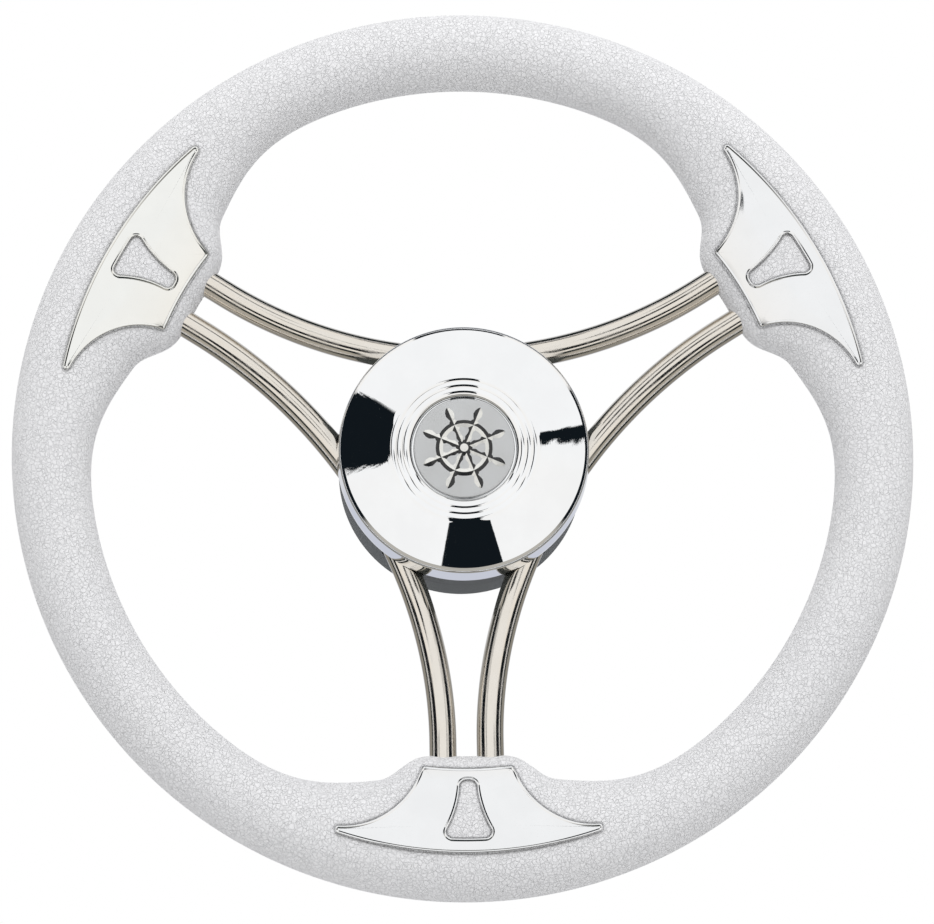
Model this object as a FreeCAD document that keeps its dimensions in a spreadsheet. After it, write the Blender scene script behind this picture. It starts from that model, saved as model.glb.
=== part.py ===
import FreeCAD, Part
import math
import os
import Sketcher

# Boat steering wheel: a white moulded rim on a steel ring, three pairs of bent stainless
# tubes as spokes, a chromed trim plate in each of the rim's three swelling nodes, and a hub
# with a tapered bore, a charcoal housing and a chromed cap.
#
# Frame: millimetres, +Z up, +X to the right of someone facing the wheel. The hub's bore runs
# along Y, and the wheel's face looks towards -Y. The origin is the centre of the bore at the
# hub's back face, where the shaft comes in. A "height" below is the distance in front of that
# face, so it is measured towards -Y. The nodes of the rim lie at 30, 150 and 270 degrees
# from +X towards +Z.

FRONT = FreeCAD.Vector(0, -1, 0)
AXLE = FreeCAD.Vector(0, 1, 0)
ORIGIN = FreeCAD.Vector(0, 0, 0)

SIZES = [
    ("wheel_diameter", 350.0, "over the grip"),
    ("grip_section", 30.0, "diameter of the round grip"),
    ("dish", 50.0, "height of the rim's mid-plane above the hub's back face"),
    ("core_diameter", 18.0, "steel ring inside the grip"),
    ("core_wall", 2.0, "wall of that ring"),
    ("bond_gap", 0.1, "play between the grip and the steel inside it"),
    ("nose_reach", 9.12, "inward step of a node's nose"),
    ("nose_spread", 12.09, "half angle of the nose, in degrees"),
    ("nose_squareness", 7.2, "how sharply the nose's shoulders turn"),
    ("flare_reach", 17.08, "inward swelling of a node's flanks"),
    ("flare_spread", 21.7, "half angle of the flanks, in degrees"),
    ("flare_squareness", 3.08, "how sharply the flanks turn"),
    ("nose_sink", 3.4, "how far the end of the nose lies behind the mid-plane"),
    ("tube_diameter", 10.5, "stainless spoke tube"),
    ("tube_wall", 1.5, "wall of the spoke tube"),
    ("tube_offset", 9.1, "from a node's centre line to each of its two tubes"),
    ("tube_tilt", 26.0, "lean of the plane in which a tube is bent, in degrees"),
    ("bend_radius", 172.0, "bend of a spoke tube, in its own plane"),
    ("tube_level_inset", 28.0, "inside the ring's centre line, where a tube meets the mid-plane"),
    ("tube_end_inset", 7.0, "inside the ring's centre line, where a tube ends"),
    ("trim_outer_inset", 2.3, "outer edge of a trim plate, inside the ring's centre line"),
    ("trim_outer_angle", 18.6, "half angle between the starts of its round tips, in degrees"),
    ("trim_tip_radius", 1.85, "its round tips"),
    ("trim_nose_margin", 5.9, "grip between its inner edge and the end of the nose"),
    ("trim_inner_angle", 8.0, "half angle between its inner corners, in degrees"),
    ("trim_side_radius", 33.0, "hollow of its two side edges"),
    ("trim_corner", 0.6, "rounding of its inner corners"),
    ("trim_raise", 0.8, "how far it stands out of the grip"),
    ("pocket_depth", 1.6, "depth of its pocket in the grip"),
    ("trim_gap", 0.25, "play round a trim plate"),
    ("trim_edge", 0.5, "rounding along its front edges"),
    ("window_inner_margin", 3.6, "plate between its inner edge and its window"),
    ("window_outer_margin", 5.4, "plate between its window and its outer edge"),
    ("window_narrow", 3.2, "half width at the inner end"),
    ("window_wide", 9.9, "half width at the outer end"),
    ("window_sag", 1.8, "hollow of the window's sides"),
    ("window_corner", 2.6, "rounding of the window's outer corners"),
    ("pin_diameter", 3.0, "moulded pins on the back of a trim plate"),
    ("pin_length", 4.2, "length of a pin, with its root in the plate"),
    ("pin_angle", 13.0, "angle of the two side pins from the node's centre line"),
    ("pin_inset", 5.1, "side pins, inside the plate's outer edge"),
    ("shaft_diameter", 19.05, "straight part of the helm shaft"),
    ("bore_play", 0.08, "radial play of that part in the boss"),
    ("bore_lead", 8.0, "length of the boss's straight bore"),
    ("taper_length", 25.4, "length of the tapered bore"),
    ("taper_ratio", 12.0, "length over change of diameter"),
    ("nut_recess_diameter", 28.0, "recess in front of the taper for washer and nut"),
    ("nut_recess_depth", 2.6, "depth of that recess"),
    ("key_width", 4.76, "keyway"),
    ("key_depth", 2.4, "depth of the keyway in the wall of the bore"),
    ("boss_diameter", 40.0, "turned boss"),
    ("boss_shoulder_width", 3.5, "shoulder on which the spoke disc is welded"),
    ("boss_shoulder_height", 5.0, "thickness of that shoulder"),
    ("boss_bevel", 1.0, "bevel of the boss's corners"),
    ("plate_thickness", 4.0, "steel disc that carries the tubes"),
    ("plate_play", 0.5, "play between that disc and the cap's hooks"),
    ("weld_gap", 0.05, "gap of a welded fit"),
    ("base_back", 1.0, "height of the housing's back face"),
    ("base_back_inset", 0.8, "housing at its back, inside the cap's side"),
    ("base_step_inset", 0.7, "housing below its lip, inside the cap's side"),
    ("base_lip_inset", 0.5, "lip of the housing, inside the cap's side"),
    ("base_lip_height", 12.0, "height of that lip"),
    ("base_wall", 3.3, "wall of the housing"),
    ("base_edge", 0.8, "rounding of the housing's back edge"),
    ("spigot_height", 3.0, "ring of the housing that enters the cap"),
    ("spigot_play", 0.3, "play between that ring and the cap"),
    ("boss_play", 0.5, "play of the housing round the boss"),
    ("saddle_play", 0.5, "play of the housing round a tube"),
    ("post_radius", 31.0, "radius at which the housing's screw posts stand"),
    ("post_diameter", 10.0, "screw post"),
    ("screw_diameter", 4.0, "shank of a housing screw"),
    ("screw_head_diameter", 8.0, "head of a housing screw"),
    ("screw_head_height", 2.6, "height of that head"),
    ("screw_hole_play", 0.2, "radial play of a screw in the housing"),
    ("screw_end_gap", 0.5, "how far a screw ends short of the disc's front face"),
    ("cap_diameter", 98.6, "chromed cap"),
    ("cap_tube_play", 0.53, "play between the cap's back edge and the tubes"),
    ("cap_side", 13.2, "height of the cap's side wall"),
    ("cap_wall", 2.0, "wall of the cap"),
    ("face_edge_width", 2.3, "width of the cap's round edge"),
    ("face_edge_rise", 2.2, "height of that edge"),
    ("face_rise", 2.4, "rise of the cone face from its outer to its inner edge"),
    ("step_width", 2.6, "radial width of each rounded step inside the face"),
    ("step_drop", 0.2, "fall from one step to the next"),
    ("step_swell", 1.9, "radius of the rounded steps"),
    ("lip_width", 1.25, "rounded lip round the recess"),
    ("recess_depth", 2.8, "depth of the recess below that lip"),
    ("recess_play", 0.75, "play between the disc and the recess"),
    ("disc_diameter", 39.2, "silver disc in the recess"),
    ("disc_thickness", 2.0, "thickness of the disc at its edge"),
    ("disc_dome", 0.5, "swelling of the disc's face"),
    ("hook_width", 12.0, "width of a snap hook of the cap"),
    ("hook_thickness", 1.6, "thickness of the hook"),
    ("hook_reach", 17.6, "how far the hook reaches behind the cap's back edge"),
    ("hook_catch", 0.9, "outward catch of the hook"),
    ("hook_catch_height", 2.4, "height of the catch"),
    ("hook_catch_width", 7.2, "width of the catch"),
    ("hook_play", 0.3, "play between hook and housing"),
]


class Length:
    """A size with its number and the expression that ties it to the sheet."""

    def __init__(self, value, text):
        self.value = value
        self.text = text

    def _with(self, other, sign, value):
        return Length(value, f"({self.text} {sign} {as_length(other).text})")

    def __add__(self, other):
        return self._with(other, "+", self.value + as_length(other).value)

    def __sub__(self, other):
        return self._with(other, "-", self.value - as_length(other).value)

    def __mul__(self, other):
        return self._with(other, "*", self.value * as_length(other).value)

    def __truediv__(self, other):
        return self._with(other, "/", self.value / as_length(other).value)

    def __neg__(self):
        return Length(-self.value, f"(0 - {self.text})")


def as_length(number):
    return number if isinstance(number, Length) else Length(float(number), repr(float(number)))


def root(length):
    return Length(math.sqrt(length.value), f"sqrt({length.text})")


def sine(angle):
    return Length(math.sin(math.radians(angle.value)), f"sin({angle.text} * 1 deg)")


def cosine(angle):
    return Length(math.cos(math.radians(angle.value)), f"cos({angle.text} * 1 deg)")


def make_sheet(document):
    """Write each size into the sheet and read them back from it by name."""
    sheet = document.addObject("Spreadsheet::Sheet", "Sizes")
    for row, (name, value, note) in enumerate(SIZES, 1):
        sheet.set(f"A{row}", note)
        sheet.set(f"B{row}", str(value))
        sheet.setAlias(f"B{row}", name)
    document.recompute()
    return {name: Length(float(sheet.get(name)), f"Sizes.{name}") for name, _, _ in SIZES}


doc = FreeCAD.newDocument("boat_steering_wheel")
size = make_sheet(doc)

ring_radius = (size["wheel_diameter"] - size["grip_section"]) / 2
tube_radius = size["tube_diameter"] / 2
core_radius = size["core_diameter"] / 2
nose_end = ring_radius - size["grip_section"] / 2 - size["nose_reach"] - size["flare_reach"]

# Directions are degrees from +X towards +Z. A node or tube is drawn upright, at +Z, and turned.
UPRIGHT = 90
NODE_ANGLES = (150, 30, 270)
NODE_NAMES = ("left", "right", "bottom")
TUBE_ANGLES = (90, 210, 330)
TUBE_NAMES = ("top", "left", "right")


def turned(degrees):
    """Turn about the wheel's axis that carries +Z to the direction at this angle from +X."""
    return FreeCAD.Rotation(AXLE, UPRIGHT - degrees)


# Sketches and bodies

def make_body(name):
    body = doc.addObject("PartDesign::Body", name)
    body.Label = name
    return body


def origin_plane(body, role):
    for feature in body.Origin.OriginFeatures:
        if feature.Role == role:
            return feature
    raise ValueError(role)


def bind(target, path, length):
    target.setExpression(path, length.text)


def sketch_on(body, role, name, rotation=None, lift=None):
    """A sketch on one of the body's origin planes, turned and lifted by its attachment."""
    sketch = body.newObject("Sketcher::SketchObject", name)
    sketch.AttachmentSupport = [(origin_plane(body, role), "")]
    sketch.MapMode = "FlatFace"
    sketch.AttachmentOffset = FreeCAD.Placement(
        FreeCAD.Vector(0, 0, lift.value if lift else 0), rotation or FreeCAD.Rotation())
    if lift:
        bind(sketch, "AttachmentOffset.Base.z", lift)
    return sketch


def section_sketch(body, name):
    """Sketch in the X-Y plane whose x is a radius and whose y is a height."""
    return sketch_on(body, "XY_Plane", name, FreeCAD.Rotation(FreeCAD.Vector(1, 0, 0), 180))


def place_point(sketch, geometry, end, x, y):
    for kind, length in (("DistanceX", x), ("DistanceY", y)):
        index = sketch.addConstraint(
            Sketcher.Constraint(kind, -1, 1, geometry, end, length.value))
        bind(sketch, f"Constraints[{index}]", length)


def arc_between(start, end, radius, side):
    """Arc from start to end that bulges to the left (side 1) or right (-1) of travel.

    It is drawn counter-clockwise, so one that bulges to the left runs from end to start.
    """
    chord = end - start
    depth = math.sqrt(max(radius * radius - chord.Length * chord.Length / 4, 0.0))
    left = FreeCAD.Vector(-chord.y, chord.x, 0).normalize()
    centre = (start + end) / 2 - left * side * depth
    first, last = (end, start) if side > 0 else (start, end)
    angles = [math.atan2(point.y - centre.y, point.x - centre.x) for point in (first, last)]
    if angles[1] < angles[0]:
        angles[1] += 2 * math.pi
    circle = Part.Circle(centre, FreeCAD.Vector(0, 0, 1), radius)
    return Part.ArcOfCircle(circle, *angles)


def outline(sketch, corners, rounds=None, smooth=()):
    """Closed outline through the corners; rounds gives an edge its (radius, side).

    A corner whose number is in smooth is where two edges meet without a kink. Its place
    follows from them where the edge before it and the one after it are both rounds.
    """
    rounds = rounds or {}
    points = [FreeCAD.Vector(x.value, y.value, 0) for x, y in corners]
    ends = []
    for index, start in enumerate(points):
        end = points[(index + 1) % len(points)]
        if index in rounds:
            radius, side = rounds[index]
            geometry = sketch.addGeometry(arc_between(start, end, radius.value, side), False)
            row = sketch.addConstraint(Sketcher.Constraint("Radius", geometry, radius.value))
            bind(sketch, f"Constraints[{row}]", radius)
        else:
            side = -1
            geometry = sketch.addGeometry(Part.LineSegment(start, end), False)
        ends.append((geometry, 2, 1) if side > 0 else (geometry, 1, 2))
    for index, (geometry, first, last) in enumerate(ends):
        following = (index + 1) % len(ends)
        after = ends[following]
        joint = "Tangent" if following in smooth else "Coincident"
        sketch.addConstraint(Sketcher.Constraint(joint, geometry, last, after[0], after[1]))
        if index not in smooth:
            place_point(sketch, geometry, first, *corners[index])


def circle_at(sketch, x, y, radius):
    geometry = sketch.addGeometry(
        Part.Circle(FreeCAD.Vector(x.value, y.value, 0), FreeCAD.Vector(0, 0, 1), radius.value))
    row = sketch.addConstraint(Sketcher.Constraint("Radius", geometry, radius.value))
    bind(sketch, f"Constraints[{row}]", radius)
    place_point(sketch, geometry, 3, x, y)


def revolve(body, sketch, name, kind="Revolution"):
    feature = body.newObject(f"PartDesign::{kind}", name)
    feature.Profile = sketch
    feature.ReferenceAxis = (sketch, ["V_Axis"])
    feature.Angle = 360
    return feature


def pad(body, sketch, name, length, kind="Pad"):
    feature = body.newObject(f"PartDesign::{kind}", name)
    feature.Profile = sketch
    feature.Type = 0
    bind(feature, "Length", length)
    return feature


def three_fold(body, features, name):
    """Repeat features three times about the wheel's axis."""
    pattern = body.newObject("PartDesign::PolarPattern", name)
    pattern.Originals = features
    pattern.Axis = (origin_plane(body, "Y_Axis"), [""])
    pattern.Angle = 360
    pattern.Occurrences = 3
    body.Tip = pattern
    return pattern


def edges_near(shape, test):
    """Names of the edges whose middle point passes the test."""
    names = []
    for index, edge in enumerate(shape.Edges, 1):
        first, last = edge.ParameterRange
        if test(edge.valueAt((first + last) / 2), edge):
            names.append(f"Edge{index}")
    return names


def boolean(kind, name, base, tool):
    feature = doc.addObject(f"Part::{kind}", name)
    feature.Base = base
    feature.Tool = tool
    return feature


def shaped(name, shape):
    feature = doc.addObject("Part::Feature", name)
    feature.Shape = shape
    return feature


# The moulded grip: one smooth skin lofted through cross-sections round the whole ring

CIRCLE_PULL = 0.5523
NOSE_FRONT_PULLS = (0.70, 0.65)
NOSE_BACK_PULLS = (0.70, 0.60)
NODE_STATIONS = (0, 4, 7, 9, 10.5, 12, 14, 17, 21, 26, 31, 36, 42, 50)


def swelling(angle):
    """Inward swelling of the grip at this angle from a node's centre line."""
    nose = size["nose_reach"].value * math.exp(
        -(angle / size["nose_spread"].value) ** size["nose_squareness"].value)
    flare = size["flare_reach"].value * math.exp(
        -(angle / size["flare_spread"].value) ** size["flare_squareness"].value)
    return nose + flare


def grip_section(angle, offset, direction):
    """Poles of the grip's closed cross-section, at this angle from a node's centre line.

    It lies in the plane of the wheel's axis and the given direction: four Bezier quarters
    with three poles each and the next one's first. The outer half is a half circle; the
    inner half reaches in by the swelling and sinks towards the back.
    """
    share = swelling(angle) / swelling(0)
    half = size["grip_section"].value / 2 + offset
    middle = ring_radius.value
    inner = middle - half - swelling(angle)
    sink = size["nose_sink"].value * share
    plane = size["dish"].value

    def at(radius, height):
        return direction * radius + FRONT * (plane + height)

    def quarter(start, corner, end, pulls):
        return [start, start + (corner - start) * pulls[0], end + (corner - end) * pulls[1]]

    def blend(pulls):
        return [CIRCLE_PULL + (pull - CIRCLE_PULL) * share for pull in pulls]

    crown, heel = at(middle, half), at(middle, -half)
    outside, inside = at(middle + half, 0), at(inner, -sink)
    return (quarter(crown, at(middle + half, half), outside, (CIRCLE_PULL, CIRCLE_PULL))
            + quarter(outside, at(middle + half, -half), heel, (CIRCLE_PULL, CIRCLE_PULL))
            + quarter(heel, at(inner, -half), inside, blend(NOSE_BACK_PULLS))
            + quarter(inside, at(inner, half), crown, blend(NOSE_FRONT_PULLS)[::-1]))


def spoke_direction(degrees):
    angle = math.radians(degrees)
    return FreeCAD.Vector(math.cos(angle), 0, math.sin(angle))


def ring_skin(offset):
    """Solid of the whole ring: each pole of the section follows a closed smooth curve."""
    stations = [-angle for angle in NODE_STATIONS[:0:-1]] + list(NODE_STATIONS) + [60]
    angles = [node + station for node in (30, 150, 270) for station in stations]
    sections = [grip_section(abs(station), offset, spoke_direction(node + station))
                for node in (30, 150, 270) for station in stations]
    tracks = []
    for poles in zip(*sections):
        track = Part.BSplineCurve()
        track.interpolate(Points=list(poles), PeriodicFlag=True,
                          Parameters=[float(angle) for angle in angles + [angles[0] + 360]])
        tracks.append(track)
    faces = []
    for first in range(0, len(tracks), 3):
        rows = [tracks[(first + step) % len(tracks)] for step in range(4)]
        surface = Part.BSplineSurface()
        surface.buildFromPolesMultsKnots(
            [row.getPoles() for row in rows], [4, 4], rows[0].getMultiplicities(), [0.0, 1.0],
            rows[0].getKnots(), False, True, 3, 3)
        faces.append(surface.toShape())
    shell = Part.makeShell(faces)
    shell.sewShape()
    return Part.makeSolid(shell)


def node_skin(offset):
    """Loft over one node alone, at +Z, from flank to flank."""
    wires = []
    for station in [-angle for angle in NODE_STATIONS[9:0:-1]] + list(NODE_STATIONS[:10]):
        poles = grip_section(abs(station), offset, spoke_direction(UPRIGHT + station))
        edges = []
        for first in range(0, len(poles), 3):
            curve = Part.BezierCurve()
            curve.setPoles([poles[(first + step) % len(poles)] for step in range(4)])
            edges.append(curve.toShape())
        wires.append(Part.Wire(edges))
    return Part.makeLoft(wires, True, False)


# Bent spoke tubes: each is a planar arch, straight in the two nodes that it joins and bent
# once past the hub. Its plane leans back, so that the rim stands in front of the hub.

lean_sine = sine(size["tube_tilt"])
lean_cosine = cosine(size["tube_tilt"])
node_half_sine = as_length(math.sin(math.radians(60)))
node_half_cosine = as_length(math.cos(math.radians(60)))
tube_level = ring_radius - size["tube_level_inset"]
level_distance = tube_level * node_half_cosine + size["tube_offset"] * node_half_sine
arch_height = size["dish"] - level_distance * lean_sine / lean_cosine
arch_slope = node_half_cosine / node_half_sine / lean_cosine
slope_cosine = as_length(1) / root(as_length(1) + arch_slope * arch_slope)
slope_sine = arch_slope * slope_cosine
line_foot = size["tube_offset"] / node_half_sine / lean_cosine
arch_centre = line_foot + size["bend_radius"] / slope_cosine
arch_apex = arch_centre - size["bend_radius"]
tangent_x = size["bend_radius"] * slope_sine
tangent_y = arch_centre - size["bend_radius"] * slope_cosine
tube_end = ring_radius - size["tube_end_inset"]
end_x = tube_end * node_half_sine - size["tube_offset"] * node_half_cosine
end_y = line_foot + arch_slope * end_x
apex_height = arch_height + arch_apex * lean_sine
apex_distance = arch_apex * lean_cosine


def tube_height_at(radius):
    """Height of a tube's centre line where it lies this far from the wheel's axis.

    In the leaning plane the bend is a circle, and its distance from the axis is that of
    (x, y * cosine of the lean). That gives a quadratic equation for y.
    """
    lean = lean_sine * lean_sine
    centre_square = arch_centre * arch_centre
    rest = centre_square - size["bend_radius"] * size["bend_radius"] + radius * radius
    y = (arch_centre - root(centre_square - lean * rest)) / lean
    return arch_height + y * lean_sine


# Heights and radii of the hub. The disc touches the tubes from behind, and the cap's back
# edge passes over them; everything else in the hub follows from these two and the cap's size.

plate_front = apex_height - tube_radius - size["weld_gap"]
plate_back = plate_front - size["plate_thickness"]
cap_radius = size["cap_diameter"] / 2
cap_back = tube_height_at(cap_radius) + tube_radius + size["cap_tube_play"]
housing_inner = cap_radius - size["base_step_inset"] - size["base_wall"]
hook_outer = housing_inner - size["hook_play"]
hook_flat = root(hook_outer * hook_outer - size["hook_width"] * size["hook_width"] / 4)
hook_low = cap_back - size["hook_reach"]
plate_radius = hook_flat - size["hook_thickness"] - size["plate_play"]


def arch_point(x, y):
    """Point of the arch's leaning plane, for the arch whose apex lies towards +Z."""
    return FreeCAD.Vector(x.value, -(arch_height.value + y.value * lean_sine.value),
                          y.value * lean_cosine.value)


def half_arch():
    """Path from the apex to the end in the right-hand node."""
    half_turn = math.atan2(slope_sine.value, slope_cosine.value) / 2
    middle_x = as_length(size["bend_radius"].value * math.sin(half_turn))
    middle_y = as_length(arch_centre.value - size["bend_radius"].value * math.cos(half_turn))
    apex = arch_point(as_length(0), arch_apex)
    tangent = arch_point(tangent_x, tangent_y)
    arc = Part.Arc(apex, arch_point(middle_x, middle_y), tangent).toShape()
    line = Part.LineSegment(tangent, arch_point(end_x, end_y)).toShape()
    return Part.Wire([arc, line])


def arch_channel(radius, open_to=None):
    """Solid that follows a tube; with open_to it is a trough, open up to that height."""
    centre = arch_point(as_length(0), arch_apex)
    up = FreeCAD.Vector(0, 0, 1)
    if open_to is None:
        ring = Part.Circle(centre, FreeCAD.Vector(1, 0, 0), radius).toShape()
        profile = Part.Wire([ring])
    else:
        rise = FRONT * (open_to - apex_height.value)
        low, high = centre - up * radius, centre + up * radius
        bottom = Part.Arc(low, centre - FRONT * radius, high).toShape()
        corners = [high, high + rise, low + rise, low]
        profile = Part.Wire([bottom] + [Part.LineSegment(corners[i], corners[i + 1]).toShape()
                                        for i in range(3)])
    half = half_arch().makePipeShell([profile], True, True)
    other = half.mirror(ORIGIN, FreeCAD.Vector(1, 0, 0))
    return half.fuse(other)


def make_tube_blank():
    body = make_body("tube_blank")
    path = sketch_on(body, "XZ_Plane", "tube_path",
                     FreeCAD.Rotation(FreeCAD.Vector(1, 0, 0), size["tube_tilt"].value),
                     arch_height)
    bind(path, "AttachmentOffset.Rotation.Angle", size["tube_tilt"])
    centre = FreeCAD.Vector(0, arch_centre.value, 0)
    turn = math.atan2(slope_sine.value, slope_cosine.value)
    circle = Part.Circle(centre, FreeCAD.Vector(0, 0, 1), size["bend_radius"].value)
    arc = path.addGeometry(Part.ArcOfCircle(circle, -math.pi / 2, -math.pi / 2 + turn))
    tangent = FreeCAD.Vector(tangent_x.value, tangent_y.value, 0)
    end = FreeCAD.Vector(end_x.value, end_y.value, 0)
    line = path.addGeometry(Part.LineSegment(tangent, end))
    row = path.addConstraint(Sketcher.Constraint("Radius", arc, size["bend_radius"].value))
    bind(path, f"Constraints[{row}]", size["bend_radius"])
    path.addConstraint(Sketcher.Constraint("Coincident", arc, 2, line, 1))
    place_point(path, arc, 1, as_length(0), arch_apex)
    place_point(path, line, 1, tangent_x, tangent_y)
    place_point(path, line, 2, end_x, end_y)

    section = sketch_on(body, "YZ_Plane", "tube_section",
                        FreeCAD.Rotation(FreeCAD.Vector(0, 1, 0), 180))
    circle_at(section, apex_height, apex_distance, tube_radius)
    circle_at(section, apex_height, apex_distance, tube_radius - size["tube_wall"])
    doc.recompute()
    pipe = body.newObject("PartDesign::AdditivePipe", "tube_half")
    pipe.Profile = section
    pipe.Spine = (path, ["Edge1", "Edge2"])
    doc.recompute()
    mirror = body.newObject("PartDesign::Mirrored", "tube_whole")
    mirror.Originals = [pipe]
    mirror.MirrorPlane = (origin_plane(body, "YZ_Plane"), [""])
    body.Tip = mirror
    doc.recompute()
    return body


def make_torus(name, section_radius):
    torus = doc.addObject("Part::Torus", name)
    bind(torus, "Radius1", ring_radius)
    bind(torus, "Radius2", section_radius)
    torus.Placement = FreeCAD.Placement(
        FRONT * size["dish"].value, FreeCAD.Rotation(FreeCAD.Vector(1, 0, 0), 90))
    bind(torus, "Placement.Base.y", -size["dish"])
    return torus


def make_tubes():
    """Three equal tubes, cut to the steel ring at both ends."""
    blank = make_tube_blank()
    ring = make_torus("tube_end_shape", core_radius + size["weld_gap"])
    tubes = {}
    for side, degrees in zip(TUBE_NAMES, TUBE_ANGLES):
        tube = boolean("Cut", f"spoke_tube_{side}", blank, ring)
        tube.Placement = FreeCAD.Placement(ORIGIN, turned(degrees))
        tubes[tube.Name] = tube
    return tubes


# Trim plates, drawn for a node at +Z

trim_outer = ring_radius - size["trim_outer_inset"]
trim_inner = nose_end + size["trim_nose_margin"]
window_start = trim_inner + size["window_inner_margin"]
window_end = trim_outer - size["window_outer_margin"]


def plan_sketch(name, corners, rounds, height, smooth=()):
    """Sketch in the plane of the wheel, at this height."""
    sketch = doc.addObject("Sketcher::SketchObject", name)
    sketch.Placement = FreeCAD.Placement(
        FRONT * height.value, FreeCAD.Rotation(FreeCAD.Vector(1, 0, 0), 90))
    bind(sketch, "Placement.Base.y", -height)
    outline(sketch, corners, rounds, smooth)
    return sketch


def extrusion(name, base, length):
    feature = doc.addObject("Part::Extrusion", name)
    feature.Base = base
    feature.DirMode = "Custom"
    feature.Dir = FRONT
    feature.Solid = True
    bind(feature, "LengthFwd", length)
    return feature


def hollow_radius(start, end, sag):
    """Radius of an arc with this sag between two corners."""
    across = end[0] - start[0]
    along = end[1] - start[1]
    return (across * across + along * along) / (sag * 8) + sag / 2


def trim_plan():
    """Outline of a trim plate: two round tips, two hollow sides, an inner and an outer arc."""
    radius = trim_outer
    tip = size["trim_tip_radius"]
    across = sine(size["trim_outer_angle"])
    along = cosine(size["trim_outer_angle"])
    corner_x = trim_inner * sine(size["trim_inner_angle"])
    corner_y = trim_inner * cosine(size["trim_inner_angle"])
    neck = radius - tip * 2
    corners = [(-corner_x, corner_y), (corner_x, corner_y), (neck * across, neck * along),
               (radius * across, radius * along), (-(radius * across), radius * along),
               (-(neck * across), neck * along)]
    rounds = {0: (trim_inner, 1), 1: (size["trim_side_radius"], 1),
              2: (tip, -1), 3: (radius, -1), 4: (tip, -1), 5: (size["trim_side_radius"], 1)}
    return plan_sketch("trim_plan", corners, rounds, size["dish"], smooth=(2, 5))


def window_plan():
    """Outline of the window in a trim plate."""
    wide_y = root(window_end * window_end - size["window_wide"] * size["window_wide"])
    corners = [(-size["window_narrow"], window_start), (size["window_narrow"], window_start),
               (size["window_wide"], wide_y), (-size["window_wide"], wide_y)]
    side = hollow_radius(corners[1], corners[2], size["window_sag"])
    rounds = {1: (side, 1), 2: (window_end, -1), 3: (side, 1)}
    return plan_sketch("window_plan", corners, rounds, size["dish"])


def offset_plan(name, sketch, distance):
    grown = doc.addObject("Part::Offset2D", name)
    grown.Source = sketch
    grown.Join = 0
    bind(grown, "Value", distance)
    return grown


def upright_fillet(name, base, radii):
    """Round upright edges of a prism; radii is a list of (test, radius)."""
    doc.recompute()
    feature = doc.addObject("Part::Fillet", name)
    feature.Base = base
    rows = []
    for index, edge in enumerate(base.Shape.Edges, 1):
        middle = edge.valueAt(sum(edge.ParameterRange) / 2)
        upright = len(edge.Vertexes) == 2 and abs(
            (edge.Vertexes[0].Point - edge.Vertexes[1].Point).normalize().dot(FRONT)) > 0.999
        for test, radius in radii:
            if upright and test(middle):
                rows.append((index, radius, radius))
    feature.Edges = rows
    return feature


def pins(play, extra):
    """Three round pins below a trim plate; extra lengthens them towards the front.

    Two stand at the sides, and one between the window and the plate's outer edge.
    """
    side = (trim_outer - size["pin_inset"]).value
    between = (window_end.value + trim_outer.value) / 2
    crown = size["dish"].value + size["grip_section"].value / 2
    low = crown - size["pocket_depth"].value / 2 - size["pin_length"].value - play
    shapes = []
    for angle, reach in ((-size["pin_angle"].value, side), (0.0, between),
                         (size["pin_angle"].value, side)):
        foot = spoke_direction(UPRIGHT + angle) * reach + FRONT * low
        shapes.append(Part.makeCylinder(size["pin_diameter"].value / 2 + play,
                                        size["pin_length"].value + play + extra, foot, FRONT))
    return shapes


prism_height = size["grip_section"]
trim_sketch = trim_plan()
window_sketch = window_plan()
doc.recompute()

trim_middle = (trim_inner.value + trim_outer.value) / 2
window_middle = (window_start.value + window_end.value) / 2
window_rounds = [(lambda point: point.z > window_middle, size["window_corner"].value),
                 (lambda point: point.z < window_middle, size["window_corner"].value / 2)]
trim_block = upright_fillet(
    "trim_block", extrusion("trim_extrusion", trim_sketch, prism_height),
    [(lambda point: point.z < trim_middle, size["trim_corner"].value)])
pocket_block = extrusion(
    "pocket_extrusion", offset_plan("pocket_plan", trim_sketch, size["trim_gap"]), prism_height)
window_block = upright_fillet(
    "window_block", extrusion("window_extrusion", window_sketch, prism_height), window_rounds)
island_block = upright_fillet(
    "island_block", extrusion("island_extrusion",
                              offset_plan("island_plan", window_sketch, -size["trim_gap"]),
                              prism_height), window_rounds)
doc.recompute()

pocket_floor = node_skin(-size["pocket_depth"].value)
trim_top = node_skin(size["trim_raise"].value)


def turned_copies(shape, angles=NODE_ANGLES):
    copies = []
    for degrees in angles:
        copy = shape.copy()
        copy.rotate(ORIGIN, AXLE, UPRIGHT - degrees)
        copies.append(copy)
    return copies


def front_border(shape):
    """Edges between the front faces and the upright sides of a plate."""
    front_faces = []
    for face in shape.Faces:
        u_first, u_last, v_first, v_last = face.ParameterRange
        normal = face.normalAt((u_first + u_last) / 2, (v_first + v_last) / 2)
        if normal.dot(FRONT) > 0.3:
            front_faces.append(face)
    border = []
    for face in front_faces:
        for edge in face.Edges:
            if sum(edge.isSame(other) for front in front_faces for other in front.Edges) == 1:
                border.append(edge)
    return border


def make_trims():
    """Three equal plates: the skin's own curve, a rounded border, a window and three pins."""
    seat = node_skin(size["bond_gap"].value - size["pocket_depth"].value)
    plate = trim_block.Shape.common(trim_top).cut([seat, window_block.Shape])
    plate = plate.Solids[0].makeFillet(size["trim_edge"].value, front_border(plate.Solids[0]))
    plate = plate.fuse(pins(0.0, 0.0))
    blank = shaped("trim_blank", plate.removeSplitter())
    trims = {}
    for node, degrees in zip(NODE_NAMES, NODE_ANGLES):
        name = f"trim_{node}"
        trims[name] = shaped(name, blank.Shape)
        trims[name].Placement = FreeCAD.Placement(ORIGIN, turned(degrees))
    return trims


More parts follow.
